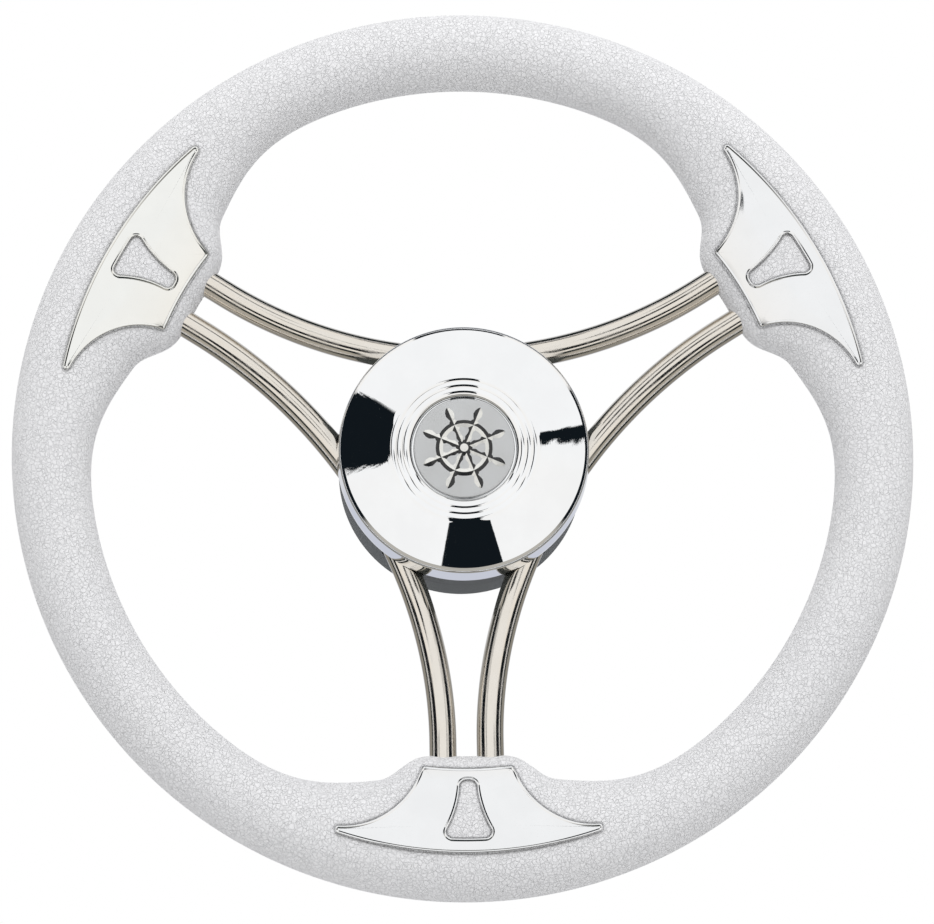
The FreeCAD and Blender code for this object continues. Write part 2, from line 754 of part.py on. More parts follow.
def make_grip():
    """The skin, less the steel inside it, the trim pockets and the pin holes."""
    pocket = pocket_block.Shape.cut([island_block.Shape, pocket_floor])
    play = size["bond_gap"].value
    holes = pins(play, size["pocket_depth"].value)
    ring = Part.makeTorus(ring_radius.value, core_radius.value + play,
                          FRONT * size["dish"].value, AXLE)
    channel = arch_channel(tube_radius.value + play)
    tools = [ring] + turned_copies(channel, TUBE_ANGLES) + turned_copies(pocket)
    for hole in holes:
        tools += turned_copies(hole)
    skin = shaped("grip_skin", ring_skin(0.0))
    solids = skin.Shape.cut(tools).Solids
    return shaped("rim_grip", max(solids, key=lambda solid: solid.Volume))


def make_core():
    body = make_body("rim_core")
    section = section_sketch(body, "core_section")
    circle_at(section, ring_radius, size["dish"], core_radius)
    circle_at(section, ring_radius, size["dish"], core_radius - size["core_wall"])
    revolve(body, section, "core_ring")
    return body


# Hub

def chamfer(body, base, name, edges, length):
    feature = body.newObject("PartDesign::Chamfer", name)
    feature.Base = (base, edges)
    bind(feature, "Size", length)
    return feature


def fillet(body, base, name, edges, radius):
    feature = body.newObject("PartDesign::Fillet", name)
    feature.Base = (base, edges)
    bind(feature, "Radius", radius)
    return feature


def rings_at(shape, wanted):
    """Circular edges about the wheel's axis with these (radius, height) pairs."""
    def test(point, edge):
        if not hasattr(edge.Curve, "Radius"):
            return False
        return any(abs(edge.Curve.Radius - radius) < 0.01
                   and abs(-edge.Curve.Center.y - height) < 0.01 for radius, height in wanted)
    return edges_near(shape, test)


def make_boss():
    """Turned boss: straight lead, taper, nut recess, shoulder and keyway."""
    body = make_body("hub_boss")
    lead = size["shaft_diameter"] / 2 + size["bore_play"]
    wide = size["shaft_diameter"] / 2
    narrow = wide - size["taper_length"] / size["taper_ratio"] / 2
    outer = size["boss_diameter"] / 2
    shoulder = outer + size["boss_shoulder_width"]
    shoulder_start = plate_back - size["boss_shoulder_height"]
    recess = size["nut_recess_diameter"] / 2
    taper_end = size["bore_lead"] + size["taper_length"]
    top = taper_end + size["nut_recess_depth"]
    zero = as_length(0)
    section = section_sketch(body, "boss_section")
    outline(section, [
        (lead, zero), (outer, zero), (outer, shoulder_start), (shoulder, shoulder_start),
        (shoulder, plate_back), (outer, plate_back), (outer, top), (recess, top),
        (recess, taper_end),
        (narrow, taper_end), (wide, size["bore_lead"]), (lead, size["bore_lead"])])
    turning = revolve(body, section, "boss_turning")
    doc.recompute()
    corners = rings_at(turning.Shape, [
        (outer.value, 0), (outer.value, top.value), (shoulder.value, shoulder_start.value)])
    bevels = chamfer(body, turning, "boss_bevels", corners, size["boss_bevel"])
    key = sketch_on(body, "XZ_Plane", "key_section")
    half = size["key_width"] / 2
    depth = lead + size["key_depth"]
    outline(key, [(-half, zero), (half, zero), (half, depth), (-half, depth)])
    doc.recompute()
    before = bevels.Shape.Volume
    keyway = pad(body, key, "keyway", top, "Pocket")
    keyway.Reversed = True
    doc.recompute()
    if not keyway.Shape.Volume < before:
        raise ValueError("keyway cuts nothing")
    return body


def drill(body, name, radius, x, z, start, length):
    """Round pocket towards the front, from the given height."""
    section = sketch_on(body, "XZ_Plane", name + "_circle", lift=start)
    circle_at(section, x, z, radius)
    hole = pad(body, section, name, length, "Pocket")
    hole.Reversed = True
    return hole


def make_plate():
    """Disc that carries the tubes, with three threaded holes."""
    body = make_body("hub_plate")
    section = sketch_on(body, "XZ_Plane", "plate_circles", lift=plate_back)
    zero = as_length(0)
    circle_at(section, zero, zero, plate_radius)
    circle_at(section, zero, zero, size["boss_diameter"] / 2 + size["weld_gap"])
    pad(body, section, "plate_disc", size["plate_thickness"])
    doc.recompute()
    hole = drill(body, "plate_hole", size["screw_diameter"] / 2 + size["weld_gap"], zero,
                 size["post_radius"], plate_back, size["plate_thickness"])
    doc.recompute()
    three_fold(body, [hole], "plate_holes")
    return body


def make_base():
    """Moulded housing with spigot, catch groove, screw posts and tube saddles."""
    body = make_body("base_blank")
    wall = size["base_wall"]
    back = cap_radius - size["base_back_inset"]
    step = cap_radius - size["base_step_inset"]
    lip = cap_radius - size["base_lip_inset"]
    lip_start = cap_back - size["base_lip_height"]
    spigot = cap_radius - size["cap_wall"] - size["spigot_play"]
    inner = housing_inner
    groove = inner + size["hook_catch"]
    catch_low = hook_low - size["hook_play"]
    catch_high = catch_low + size["hook_catch_height"] + size["hook_play"] * 2
    floor = size["base_back"] + wall
    hole = size["boss_diameter"] / 2 + size["boss_play"]
    top = cap_back + size["spigot_height"]
    section = section_sketch(body, "base_section")
    outline(section, [
        (hole, size["base_back"]), (back, size["base_back"]), (step, lip_start),
        (lip, lip_start), (lip, cap_back), (spigot, cap_back),
        (spigot, top), (inner, top), (inner, catch_high), (groove, catch_high),
        (groove, catch_low), (inner, catch_low), (back - wall, floor), (hole, floor)])
    shell = revolve(body, section, "base_shell")
    doc.recompute()
    rounded = fillet(body, shell, "base_round",
                     rings_at(shell.Shape, [(back.value, size["base_back"].value)]),
                     size["base_edge"])
    doc.recompute()
    zero = as_length(0)
    overlap = wall / 2
    circle = sketch_on(body, "XZ_Plane", "post_circle", lift=floor - overlap)
    circle_at(circle, zero, size["post_radius"], size["post_diameter"] / 2)
    post = pad(body, circle, "post", plate_back - floor + overlap)
    doc.recompute()
    posts = three_fold(body, [post], "posts")
    doc.recompute()
    before = posts.Shape.Volume
    screw_hole = drill(body, "screw_hole", size["screw_diameter"] / 2 + size["screw_hole_play"],
                       zero, size["post_radius"], size["base_back"],
                       plate_back - size["base_back"])
    doc.recompute()
    three_fold(body, [screw_hole], "screw_holes")
    doc.recompute()
    seat = drill(body, "head_seat", size["screw_head_diameter"] / 2 + size["screw_hole_play"],
                 zero, size["post_radius"], size["base_back"],
                 size["screw_head_height"] + size["screw_hole_play"])
    doc.recompute()
    seats = three_fold(body, [seat], "head_seats")
    doc.recompute()
    if not seats.Shape.Volume < before:
        raise ValueError("screw holes cut nothing")
    trough = arch_channel((tube_radius + size["saddle_play"]).value,
                          (cap_back + size["cap_side"]).value)
    troughs = turned_copies(trough, TUBE_ANGLES)
    saddles = shaped("saddle_shapes", troughs[0].multiFuse(troughs[1:]))
    return boolean("Cut", "hub_base", body, saddles)


def make_screws():
    """Three equal screws, heads in the housing and shanks in the disc."""
    radius = size["screw_diameter"].value / 2
    head = size["screw_head_diameter"].value / 2
    seat = size["base_back"].value + size["screw_head_height"].value + size["screw_hole_play"].value
    tip = (plate_front - size["screw_end_gap"]).value
    centre = FreeCAD.Vector(0, 0, size["post_radius"].value)
    top = Part.makeCylinder(head, size["screw_head_height"].value,
                            centre + FRONT * (seat - size["screw_head_height"].value), FRONT)
    shank = Part.makeCylinder(radius, tip - seat, centre + FRONT * seat, FRONT)
    screw = top.fuse(shank)
    return shaped("base_screws", Part.makeCompound(turned_copies(screw, TUBE_ANGLES)))


STEP_COUNT = 3
LIP_ROUNDNESS = 0.6
disc_seat = (cap_back + size["cap_side"] + size["face_edge_rise"] + size["face_rise"]
             - size["step_drop"] * STEP_COUNT - size["recess_depth"])


def make_cap():
    """Cap: side wall, round edge, cone face, three rounded steps, lip, recess and hooks."""
    body = make_body("hub_cap")
    wall = size["cap_wall"]
    outer = cap_radius
    inner = outer - wall
    face = outer - size["face_edge_width"]
    recess = size["disc_diameter"] / 2 + size["recess_play"]
    face_inner = recess + size["lip_width"] + size["step_width"] * STEP_COUNT
    edge_low = cap_back + size["cap_side"]
    edge_high = edge_low + size["face_edge_rise"]
    high = edge_high + size["face_rise"]
    steps = []
    for count in range(STEP_COUNT + 1):
        steps.append((face_inner - size["step_width"] * count, high - size["step_drop"] * count))
    zero = as_length(0)
    corners = [
        (inner, cap_back), (outer, cap_back), (outer, edge_low), (face, edge_high)] + steps + [
        (recess, steps[-1][1]), (recess, disc_seat), (zero, disc_seat), (zero, disc_seat - wall),
        (steps[-1][0], disc_seat - wall), (steps[-1][0], steps[-1][1] - wall),
        (face_inner, high - wall), (face - wall / 2, edge_high - wall),
        (inner, edge_low - wall / 2)]
    swell = size["step_swell"]
    rounds = {2: (outer - face, -1), 4: (swell, -1), 5: (swell, -1), 6: (swell, -1),
              7: (size["lip_width"] * LIP_ROUNDNESS, -1)}
    section = section_sketch(body, "cap_section")
    outline(section, corners, rounds)
    turning = revolve(body, section, "cap_turning")
    doc.recompute()
    half = size["hook_width"] / 2
    front = hook_flat
    finger = sketch_on(body, "XZ_Plane", "finger_section", lift=hook_low)
    outline(finger, [(-half, -front), (half, -front), (half, size["hook_thickness"] - front),
                     (-half, size["hook_thickness"] - front)])
    arm = pad(body, finger, "finger", edge_high - wall / 2 - hook_low)
    doc.recompute()
    narrow = size["hook_catch_width"] / 2
    root_depth = size["hook_thickness"] / 2
    catch = sketch_on(body, "XZ_Plane", "catch_section", lift=hook_low)
    outline(catch, [(-narrow, -front - size["hook_catch"]), (narrow, -front - size["hook_catch"]),
                    (narrow, root_depth - front), (-narrow, root_depth - front)])
    latch = pad(body, catch, "catch", size["hook_catch_height"])
    doc.recompute()
    three_fold(body, [arm, latch], "hooks")
    return body


def make_disc():
    """Slightly domed disc in the cap's recess."""
    body = make_body("emblem_disc")
    edge = size["disc_diameter"] / 2
    low = disc_seat
    high = low + size["disc_thickness"]
    dome = size["disc_dome"]
    zero = as_length(0)
    ball = (edge * edge + dome * dome) / (dome * 2)
    section = section_sketch(body, "disc_section")
    outline(section, [(zero, low), (edge, low), (edge, high), (zero, high + dome)],
            {2: (ball, -1)})
    revolve(body, section, "disc_turning")
    return body


nodes = {"rim_core": make_core(), "rim_grip": make_grip()}
nodes.update(make_tubes())
nodes.update(make_trims())
nodes["hub_boss"] = make_boss()
nodes["hub_plate"] = make_plate()
nodes["hub_base"] = make_base()
nodes["base_screws"] = make_screws()
nodes["hub_cap"] = make_cap()
nodes["emblem_disc"] = make_disc()
doc.recompute()

for thing in doc.Objects:
    if "Invalid" in thing.State or "Error" in thing.State:
        raise ValueError(f"{thing.Name} failed: {thing.State}")
os.makedirs("parts", exist_ok=True)
for name, node in nodes.items():
    shape = node.Shape
    if shape.isNull() or not shape.isValid():
        raise ValueError(f"{name} has no valid shape")
    node.Label = name
    shape.exportStep(f"parts/{name}.step")
    print(f"{name}: {len(shape.Solids)} solid(s), {shape.Volume / 1000:.2f} cm3")
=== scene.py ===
# %% [markdown]
# # A boat steering wheel
# The wheel has a white moulded rim with a leather grain, three chromed trim plates let into
# it, three bent stainless tubes and a dished hub under a chromed cap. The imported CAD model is
# the fixed frame: it gives every place and size. Here the visible skins are worked out again
# as smooth surfaces, because chrome shows each flat facet of a coarse mesh, and every surface
# gets a material made of nodes.

# %% Load the frame
import bmesh
import bpy
import math
import numpy as np
from mathutils import Matrix


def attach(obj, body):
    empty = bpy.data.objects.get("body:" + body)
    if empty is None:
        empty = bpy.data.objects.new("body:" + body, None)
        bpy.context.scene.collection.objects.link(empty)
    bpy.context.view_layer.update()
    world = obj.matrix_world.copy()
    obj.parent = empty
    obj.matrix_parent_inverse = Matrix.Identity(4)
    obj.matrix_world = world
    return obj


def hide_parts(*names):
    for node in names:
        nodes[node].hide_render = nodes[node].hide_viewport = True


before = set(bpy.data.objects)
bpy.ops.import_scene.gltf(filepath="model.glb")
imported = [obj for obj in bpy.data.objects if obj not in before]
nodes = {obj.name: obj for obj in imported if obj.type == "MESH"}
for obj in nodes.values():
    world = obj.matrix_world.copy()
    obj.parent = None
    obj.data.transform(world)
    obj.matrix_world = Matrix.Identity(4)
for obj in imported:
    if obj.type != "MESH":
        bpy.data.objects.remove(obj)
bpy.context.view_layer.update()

# %% [markdown]
# ## Grids of points become surfaces
# Every new piece is a grid of points: rows in one direction, columns in the other. Blender
# could model the same forms with curves or subdivision, but a grid that follows the drawing's
# own arcs keeps the sizes exact and the shading smooth. The helper joins neighbouring points
# to quads, merges the points that meet at a pole, and turns all faces outwards.

# %% From a grid to a mesh
MM = 0.001
COLLECTION = bpy.context.scene.collection


def mesh_of(name, grid, close_rows=False, close_columns=False):
    """Quads between neighbouring points: point (i, j) with (i, j+1), (i+1, j+1) and (i+1, j).

    The UV map gives each corner its column and row as parts of one.
    """
    rows, columns = grid.shape[:2]
    down = rows if close_rows else rows - 1
    across = columns if close_columns else columns - 1
    i, j = np.meshgrid(np.arange(down), np.arange(across), indexing="ij")
    below, beside = (i + 1) % rows, (j + 1) % columns
    quads = np.stack([i * columns + j, i * columns + beside,
                      below * columns + beside, below * columns + j], -1).reshape(-1, 4)
    mesh = bpy.data.meshes.new(name)
    mesh.from_pydata((grid.reshape(-1, 3) * MM).tolist(), [], quads.tolist())
    corners = np.stack([np.stack([j, i], -1), np.stack([j + 1, i], -1),
                        np.stack([j + 1, i + 1], -1), np.stack([j, i + 1], -1)], 2)
    layer = mesh.uv_layers.new(name="along")
    layer.data.foreach_set("uv", (corners / [across, down]).astype(np.float32).ravel())
    return mesh

# %% Clean meshes and finished pieces
def tidied(mesh, sharp_degrees):
    """Merge points that coincide, turn the faces outwards and shade smooth below an angle."""
    work = bmesh.new()
    work.from_mesh(mesh)
    bmesh.ops.remove_doubles(work, verts=work.verts, dist=1e-7)
    bmesh.ops.recalc_face_normals(work, faces=work.faces)
    work.to_mesh(mesh)
    work.free()
    mesh.shade_smooth()
    mesh.set_sharp_from_angle(angle=math.radians(sharp_degrees))
    return mesh


def add_piece(name, mesh, material, replaced=None):
    """A finished piece: it rides on the wheel's one body and stands for a CAD node."""
    piece = bpy.data.objects.new(name, mesh)
    COLLECTION.objects.link(piece)
    mesh.materials.append(material)
    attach(piece, "root")
    if replaced:
        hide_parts(replaced)
    print(name, len(mesh.vertices), "points", len(mesh.polygons), "faces")
    return piece

# %% [markdown]
# ## Directions on the wheel
# The hub's axle runs along Y and the face looks towards -Y, so a height in front of the hub's
# back is a negative Y. A node is the swollen place where a trim plate sits. Each one is drawn
# upright, at the top of the wheel, and then turned to its place.

# %% Places and turns
NODE_ANGLES = {"trim_right": 30, "trim_left": 150, "trim_bottom": 270}
TUBE_ANGLES = {"spoke_tube_top": 90, "spoke_tube_left": 210, "spoke_tube_right": 330}


def turned(points, degrees):
    """The upright drawing turned about the axle until its top looks in this direction."""
    angle = math.radians(degrees - 90)
    x, y, z = points[..., 0], points[..., 1], points[..., 2]
    return np.stack([x * math.cos(angle) - z * math.sin(angle), y,
                     x * math.sin(angle) + z * math.cos(angle)], -1)


print("plates at", *NODE_ANGLES.values(), "and tubes at", *TUBE_ANGLES.values(), "degrees")

# %% [markdown]
# ## Node groups in plain calls
# Materials are built from nodes. Two short helpers add a node with its settings and links, so
# that each recipe below reads as a list of what the real finish has: grain, scratches, dirt.
# Patterns read Object coordinates in millimetres, which are the same on every piece because
# every object sits at the origin.

# %% Helpers for node trees
def add_node(tree, kind, inputs, **settings):
    """Add a node: inputs maps a socket's name or number to a value or to another's output."""
    node = tree.nodes.new(kind)
    for name, value in settings.items():
        setattr(node, name, value)
    for key, value in inputs.items():
        if isinstance(value, bpy.types.NodeSocket):
            tree.links.new(value, node.inputs[key])
        else:
            node.inputs[key].default_value = value
    return node


def calculate(tree, operation, first, second=0.0, third=0.0):
    """The result of one Math node."""
    return add_node(tree, "ShaderNodeMath", {0: first, 1: second, 2: third},
                    operation=operation).outputs[0]


def step_between(tree, value, low, high, start=0.0, end=1.0):
    """A smooth step: start below low, end above high."""
    return add_node(tree, "ShaderNodeMapRange",
                    {"Value": value, "From Min": low, "From Max": high,
                     "To Min": start, "To Max": end},
                    interpolation_type="SMOOTHSTEP").outputs["Result"]


def blend_colours(tree, share, first, second):
    """first * (1 - share) + second * share"""
    return add_node(tree, "ShaderNodeMix", {0: share, 6: first, 7: second},
                    data_type="RGBA").outputs[2]

# %% Helpers for patterns and finishes
def millimetres(tree):
    """Object coordinates in millimetres."""
    place = tree.nodes.new("ShaderNodeTexCoord").outputs["Object"]
    return add_node(tree, "ShaderNodeMapping",
                    {"Vector": place, "Scale": (1 / MM, 1 / MM, 1 / MM)}).outputs[0]


def noise(tree, place, scale, detail=2.0, roughness=0.5):
    """Soft random values about 0.5, scale waves to the millimetre."""
    return add_node(tree, "ShaderNodeTexNoise",
                    {"Vector": place, "Scale": scale, "Detail": detail,
                     "Roughness": roughness}).outputs["Fac"]


def bump(tree, height, depth, strength=1.0):
    """A bump whose height of one stands for this depth in millimetres."""
    return add_node(tree, "ShaderNodeBump",
                    {"Height": height, "Distance": depth * MM,
                     "Strength": strength}).outputs["Normal"]


def new_finish(name, **values):
    """A material with constant values set straight on the shader's own sockets."""
    material = bpy.data.materials.new(name)
    material.use_nodes = True
    shader = material.node_tree.nodes["Principled BSDF"]
    for key, value in values.items():
        shader.inputs[key.replace("_", " ")].default_value = value
    return material, material.node_tree, shader

# %% [markdown]
# ## White grip with a leather grain
# The rim is soft moulded polyurethane. The mould gives it a grain of small raised cells with
# fine creases between them, and a pebbled skin on each cell. The distance to the border of
# Voronoi cells gives the creases, and a noise that bends the coordinates first keeps the cells
# from looking like straight-edged tiles. A second noise lets every crease fade in and out, as
# in real leather. The relief draws the grain, and a slightly darker tint in the creases stands
# for the shade that gathers there.

# %% Grip material
CELLS_PER_MM, SMALL_CELLS_PER_MM = 0.64, 1.3
CREASE_WIDTH, SMALL_CREASE_WIDTH = 0.12, 0.16
GRAIN_DEPTH = 0.19
grip_white, tree, shader = new_finish("grip_white", Roughness=0.42, IOR=1.46)
place = millimetres(tree)
drift = add_node(tree, "ShaderNodeTexNoise", {"Vector": place, "Scale": 0.45, "Detail": 2.0})
bent = add_node(tree, "ShaderNodeVectorMath",
                {0: drift.outputs["Color"], 1: (2.2, 2.2, 2.2), 2: place},
                operation="MULTIPLY_ADD").outputs[0]
cells, small_cells = (
    add_node(tree, "ShaderNodeTexVoronoi", {"Vector": bent, "Scale": scale},
             feature="DISTANCE_TO_EDGE").outputs["Distance"]
    for scale in (CELLS_PER_MM, SMALL_CELLS_PER_MM))
fading = step_between(tree, noise(tree, place, 0.5, 2.0), 0.34, 0.56, 0.65, 1.0)
small_fading = step_between(tree, noise(tree, bent, 0.8, 2.0), 0.34, 0.56, 0.3, 1.0)
valley = calculate(tree, "MULTIPLY",
                   step_between(tree, cells, 0.0, CREASE_WIDTH, 1.0, 0.0), fading)
small_valley = calculate(tree, "MULTIPLY",
                         step_between(tree, small_cells, 0.0, SMALL_CREASE_WIDTH, 1.0, 0.0),
                         small_fading)
depth = calculate(tree, "MULTIPLY_ADD", small_valley, 0.4, valley)
pebble = noise(tree, place, 1.6, 3.0, 0.6)
relief = calculate(tree, "SUBTRACT", calculate(tree, "MULTIPLY", pebble, 0.25), depth)
tree.links.new(bump(tree, relief, GRAIN_DEPTH), shader.inputs["Normal"])
patches = noise(tree, place, 0.03, 2.0)
paler = blend_colours(tree, patches, (0.80, 0.80, 0.818, 1), (0.84, 0.84, 0.852, 1))
tint = blend_colours(tree, calculate(tree, "MULTIPLY", depth, 0.34), paler,
                     (0.63, 0.635, 0.65, 1))
tree.links.new(tint, shader.inputs["Base Color"])
tree.links.new(step_between(tree, pebble, 0.3, 0.7, 0.42, 0.58), shader.inputs["Roughness"])
print("grip: cells", round(1 / CELLS_PER_MM, 1), "mm")

# %% [markdown]
# ## Shape of the grip
# Cut across, the grip is round: two quarters of a circle from its crown over the outside to the
# heel, and two Bezier quarters over the inside back to the crown. At each of the three nodes the
# inner half reaches in towards the hub and sinks a little, as a soft nose with two flanks. Both
# follow bell curves of the angle from the node. A torus with sculpted lumps would look alike,
# but these curves are the solid's own.

# %% Section of the grip
RING, HALF, DISH = 160.0, 15.0, 50.0
NOSE = (9.12, 12.09, 7.2)
FLARE = (17.08, 21.7, 3.08)
NOSE_SINK = 3.4
CIRCLE_PULL, FRONT_PULLS, HEEL_PULLS = 0.5523, (0.65, 0.70), (0.60, 0.70)
HALVINGS = 32


def bell(angle, reach, spread, squareness):
    """reach * e ** -((angle / spread) ** squareness)"""
    return reach * np.exp(-(np.abs(angle) / spread) ** squareness)


def swelling(angle):
    """How far the grip's inside reaches in: a narrow nose on a wide flare."""
    return bell(angle, *NOSE) + bell(angle, *FLARE)


def quarter(start, end, first_pull, last_pull, t):
    """Bezier quarter from start to end; each pull moves a pole from its end to the corner.

    The corner has the start's radius and the end's height.
    """
    weights = ((1 - t) ** 3, 3 * t * (1 - t) ** 2, 3 * t ** 2 * (1 - t), t ** 3)
    result = []
    for a, b, corner in zip(start, end, (start[0], end[1])):
        poles = (a, a + (corner - a) * first_pull, b + (corner - b) * last_pull, b)
        result.append(sum(weight * pole for weight, pole in zip(weights, poles)))
    return result


def inner_quarter(angle, t, offset, front):
    """Radius and height from the inside (t = 0) to the crown or heel (t = 1)."""
    share = swelling(angle) / swelling(np.zeros(1))
    half = HALF + offset
    inside = (RING - half - swelling(angle), -NOSE_SINK * share)
    pulls = [CIRCLE_PULL + (pull - CIRCLE_PULL) * share
             for pull in (FRONT_PULLS if front else HEEL_PULLS)]
    top = half if front else -half
    return quarter(inside, (RING, top), *pulls, t)

# %% Front of the grip
def front_height(radius, angle, offset):
    """Height of the grip's front over its mid-plane: the quarter's t is found by halving."""
    low, high = np.zeros_like(radius), np.ones_like(radius)
    for _ in range(HALVINGS):
        middle = (low + high) / 2
        beyond = inner_quarter(angle, middle, offset, True)[0] > radius
        low, high = np.where(beyond, low, middle), np.where(beyond, middle, high)
    inner = inner_quarter(angle, low, offset, True)[1]
    half = HALF + offset
    outer = np.sqrt(np.maximum(half ** 2 - np.maximum(radius - RING, 0) ** 2, 0))
    return np.where(radius < RING, inner, outer)


print("nose reaches in to", round(float(RING - HALF - swelling(np.zeros(1))[0]), 2), "mm")

# %% Skin of the grip
AROUND, SIDE_STEPS = 960, 19


def grip_grid():
    """Rows go round the section, columns round the wheel; angle is measured from a node."""
    turn = np.arange(AROUND) * 360 / AROUND
    angle = (turn - 30 + 60) % 120 - 60
    t = np.arange(SIDE_STEPS)[:, None] / SIDE_STEPS
    angles = np.broadcast_to(angle, (SIDE_STEPS, AROUND))
    circle = t * math.pi / 2
    crown_out = (RING + HALF * np.sin(circle) + 0 * angles, HALF * np.cos(circle) + 0 * angles)
    out_heel = (RING + HALF * np.cos(circle) + 0 * angles, -HALF * np.sin(circle) + 0 * angles)
    heel_in = inner_quarter(angles, 1 - t, 0.0, False)
    in_crown = inner_quarter(angles, t + 0 * angles, 0.0, True)
    radius, height = (np.concatenate(parts) for parts in
                      zip(crown_out, out_heel, heel_in, in_crown))
    a = np.radians(turn)
    return np.stack([radius * np.cos(a), -(DISH + height), radius * np.sin(a)], -1)


grip_mesh = tidied(mesh_of("rim_grip_skin", grip_grid(), True, True), 40)
print("grip skin", len(grip_mesh.polygons), "faces")

# %% [markdown]
# ## Outlines of trim plate and window
# Seen from the front, a trim plate has a hollow inner edge, two hollow sides that run out into
# round tips, and an outer edge that follows the rim. Its window is a small trumpet shape. Both
# are chains of arcs, drawn with complex numbers, because a turn is then one product. A corner
# is rounded by the circle that touches both arcs: its centre is where the two arcs, moved
# inwards by its radius, cross. A short blur along the loop takes out the last small kinks.

# %% Loops of arcs
LOOP, EVEN_POINTS = 900, 4096


def bulging_arc(start, end, radius, side, count=400):
    """Arc from start to end that swells to the left (side 1) or the right (side -1).

    The half angle is asin(chord / 2 radius), and the points turn about the arc's centre.
    """
    chord = end - start
    half = math.asin(min(1.0, abs(chord) / 2 / radius))
    centre = (start + end) / 2 - side * 1j * chord / abs(chord) * radius * math.cos(half)
    return centre + (start - centre) * np.exp(-1j * side * 2 * half
                                              * np.linspace(0, 1, count, endpoint=False))


def rounded_chain(parts, radii):
    """Closed chain of arcs with its corners rounded; a radius of 0 leaves a corner alone.

    Both arcs are moved to the left by the radius; the nearest pair of moved points gives the
    circle's centre and the two points where it touches.
    """
    chain = [part.copy() for part in parts]
    corners = []
    for index, radius in enumerate(radii):
        before, after = chain[index], chain[(index + 1) % len(chain)]
        if not radius:
            corners.append(before[:0])
            continue
        moved = [part + 1j * radius * np.gradient(part) / np.abs(np.gradient(part))
                 for part in (before, after)]
        gaps = np.abs(moved[0][:, None] - moved[1][None, :])
        i, j = np.unravel_index(np.argmin(gaps), gaps.shape)
        corners.append(bulging_arc(before[i], after[j], radius, -1, 60)[1:])
        chain[index] = before[:i + 1]
        chain[(index + 1) % len(chain)] = after[j:]
    return [piece for pair in zip(chain, corners) for piece in pair]

# %% Even loops and their directions
def even_loop(parts, blur):
    """Join the parts, space the points evenly and blur them along the loop by this length.

    The blur multiplies each wave of the loop by e ** -((2 pi blur / wavelength) ** 2 / 2).
    """
    loop = np.concatenate(parts)
    steps = np.abs(np.roll(loop, -1) - loop)
    length = np.concatenate([[0], np.cumsum(steps)])
    even = np.linspace(0, length[-1], EVEN_POINTS, endpoint=False)
    closed = np.append(loop, loop[0])
    points = np.interp(even, length, closed.real) + 1j * np.interp(even, length, closed.imag)
    waves = np.fft.fftfreq(EVEN_POINTS, d=length[-1] / EVEN_POINTS)
    points = np.fft.ifft(np.fft.fft(points) * np.exp(-(2 * math.pi * waves * blur) ** 2 / 2))
    back = np.append(points, points[0])
    steps = np.concatenate([[0], np.cumsum(np.abs(np.diff(back)))])
    at = np.linspace(0, steps[-1], LOOP, endpoint=False)
    return np.interp(at, steps, back.real) + 1j * np.interp(at, steps, back.imag)


def outward(loop):
    """Unit directions to the right of a loop that runs anticlockwise: away from it."""
    along = np.roll(loop, -1) - np.roll(loop, 1)
    return -1j * along / np.abs(along)


def spot(radius, degrees):
    """Point at a distance from the axle, this many degrees clockwise from the top."""
    return radius * 1j * np.exp(-1j * math.radians(degrees))

# %% Outlines of plate and window
PLATE_IN, PLATE_OUT, TIP = 124.7, 157.7, 1.4
CORNER_ANGLE, TIP_ANGLE, SIDE_RADIUS, CORNER_RADIUS = 8, 18.4, 31.5, 1.1
WINDOW_IN, WINDOW_OUT, WINDOW_WIDE, WINDOW_NARROW = 129.3, 152.3, 10.7, 3.2
WINDOW_SAG, WINDOW_CORNERS = 1.8, (2.7, 2.6, 2.6, 2.7)
inner_corners = spot(PLATE_IN, -CORNER_ANGLE), spot(PLATE_IN, CORNER_ANGLE)
necks = spot(PLATE_OUT - 2 * TIP, -TIP_ANGLE), spot(PLATE_OUT - 2 * TIP, TIP_ANGLE)
ends = spot(PLATE_OUT, -TIP_ANGLE), spot(PLATE_OUT, TIP_ANGLE)
plate_loop = even_loop(rounded_chain([
    bulging_arc(inner_corners[0], inner_corners[1], PLATE_IN, 1),
    bulging_arc(inner_corners[1], necks[1], SIDE_RADIUS, 1),
    bulging_arc(necks[1], ends[1], TIP, -1),
    bulging_arc(ends[1], ends[0], PLATE_OUT, -1, 1200),
    bulging_arc(ends[0], necks[0], TIP, -1),
    bulging_arc(necks[0], inner_corners[0], SIDE_RADIUS, 1)],
    (CORNER_RADIUS, 0, 0, 0, 0, CORNER_RADIUS)), 0.25)
wide = complex(WINDOW_WIDE, math.sqrt(WINDOW_OUT ** 2 - WINDOW_WIDE ** 2))
narrow = complex(WINDOW_NARROW, WINDOW_IN)
hollow = abs(wide - narrow) ** 2 / 8 / WINDOW_SAG + WINDOW_SAG / 2
window_loop = even_loop(rounded_chain([
    bulging_arc(-narrow.conjugate(), narrow, 1000.0, 1),
    bulging_arc(narrow, wide, hollow, 1),
    bulging_arc(wide, -wide.conjugate(), WINDOW_OUT, -1),
    bulging_arc(-wide.conjugate(), -narrow.conjugate(), hollow, 1)], WINDOW_CORNERS), 0.12)


def tightest(loop):
    """Smallest radius of its round corners: speed cubed over the turn of the speed."""
    speed = (np.roll(loop, -1) - np.roll(loop, 1)) / 2
    change = np.roll(loop, -1) - 2 * loop + np.roll(loop, 1)
    return float(1 / ((speed.conjugate() * change).imag / np.abs(speed) ** 3).max())


print("tightest corners", round(tightest(plate_loop), 2), round(tightest(window_loop), 2), "mm")
print("plate", round(float(np.ptp(plate_loop.real)), 2), "x",
      round(float(np.ptp(plate_loop.imag)), 2), "mm")

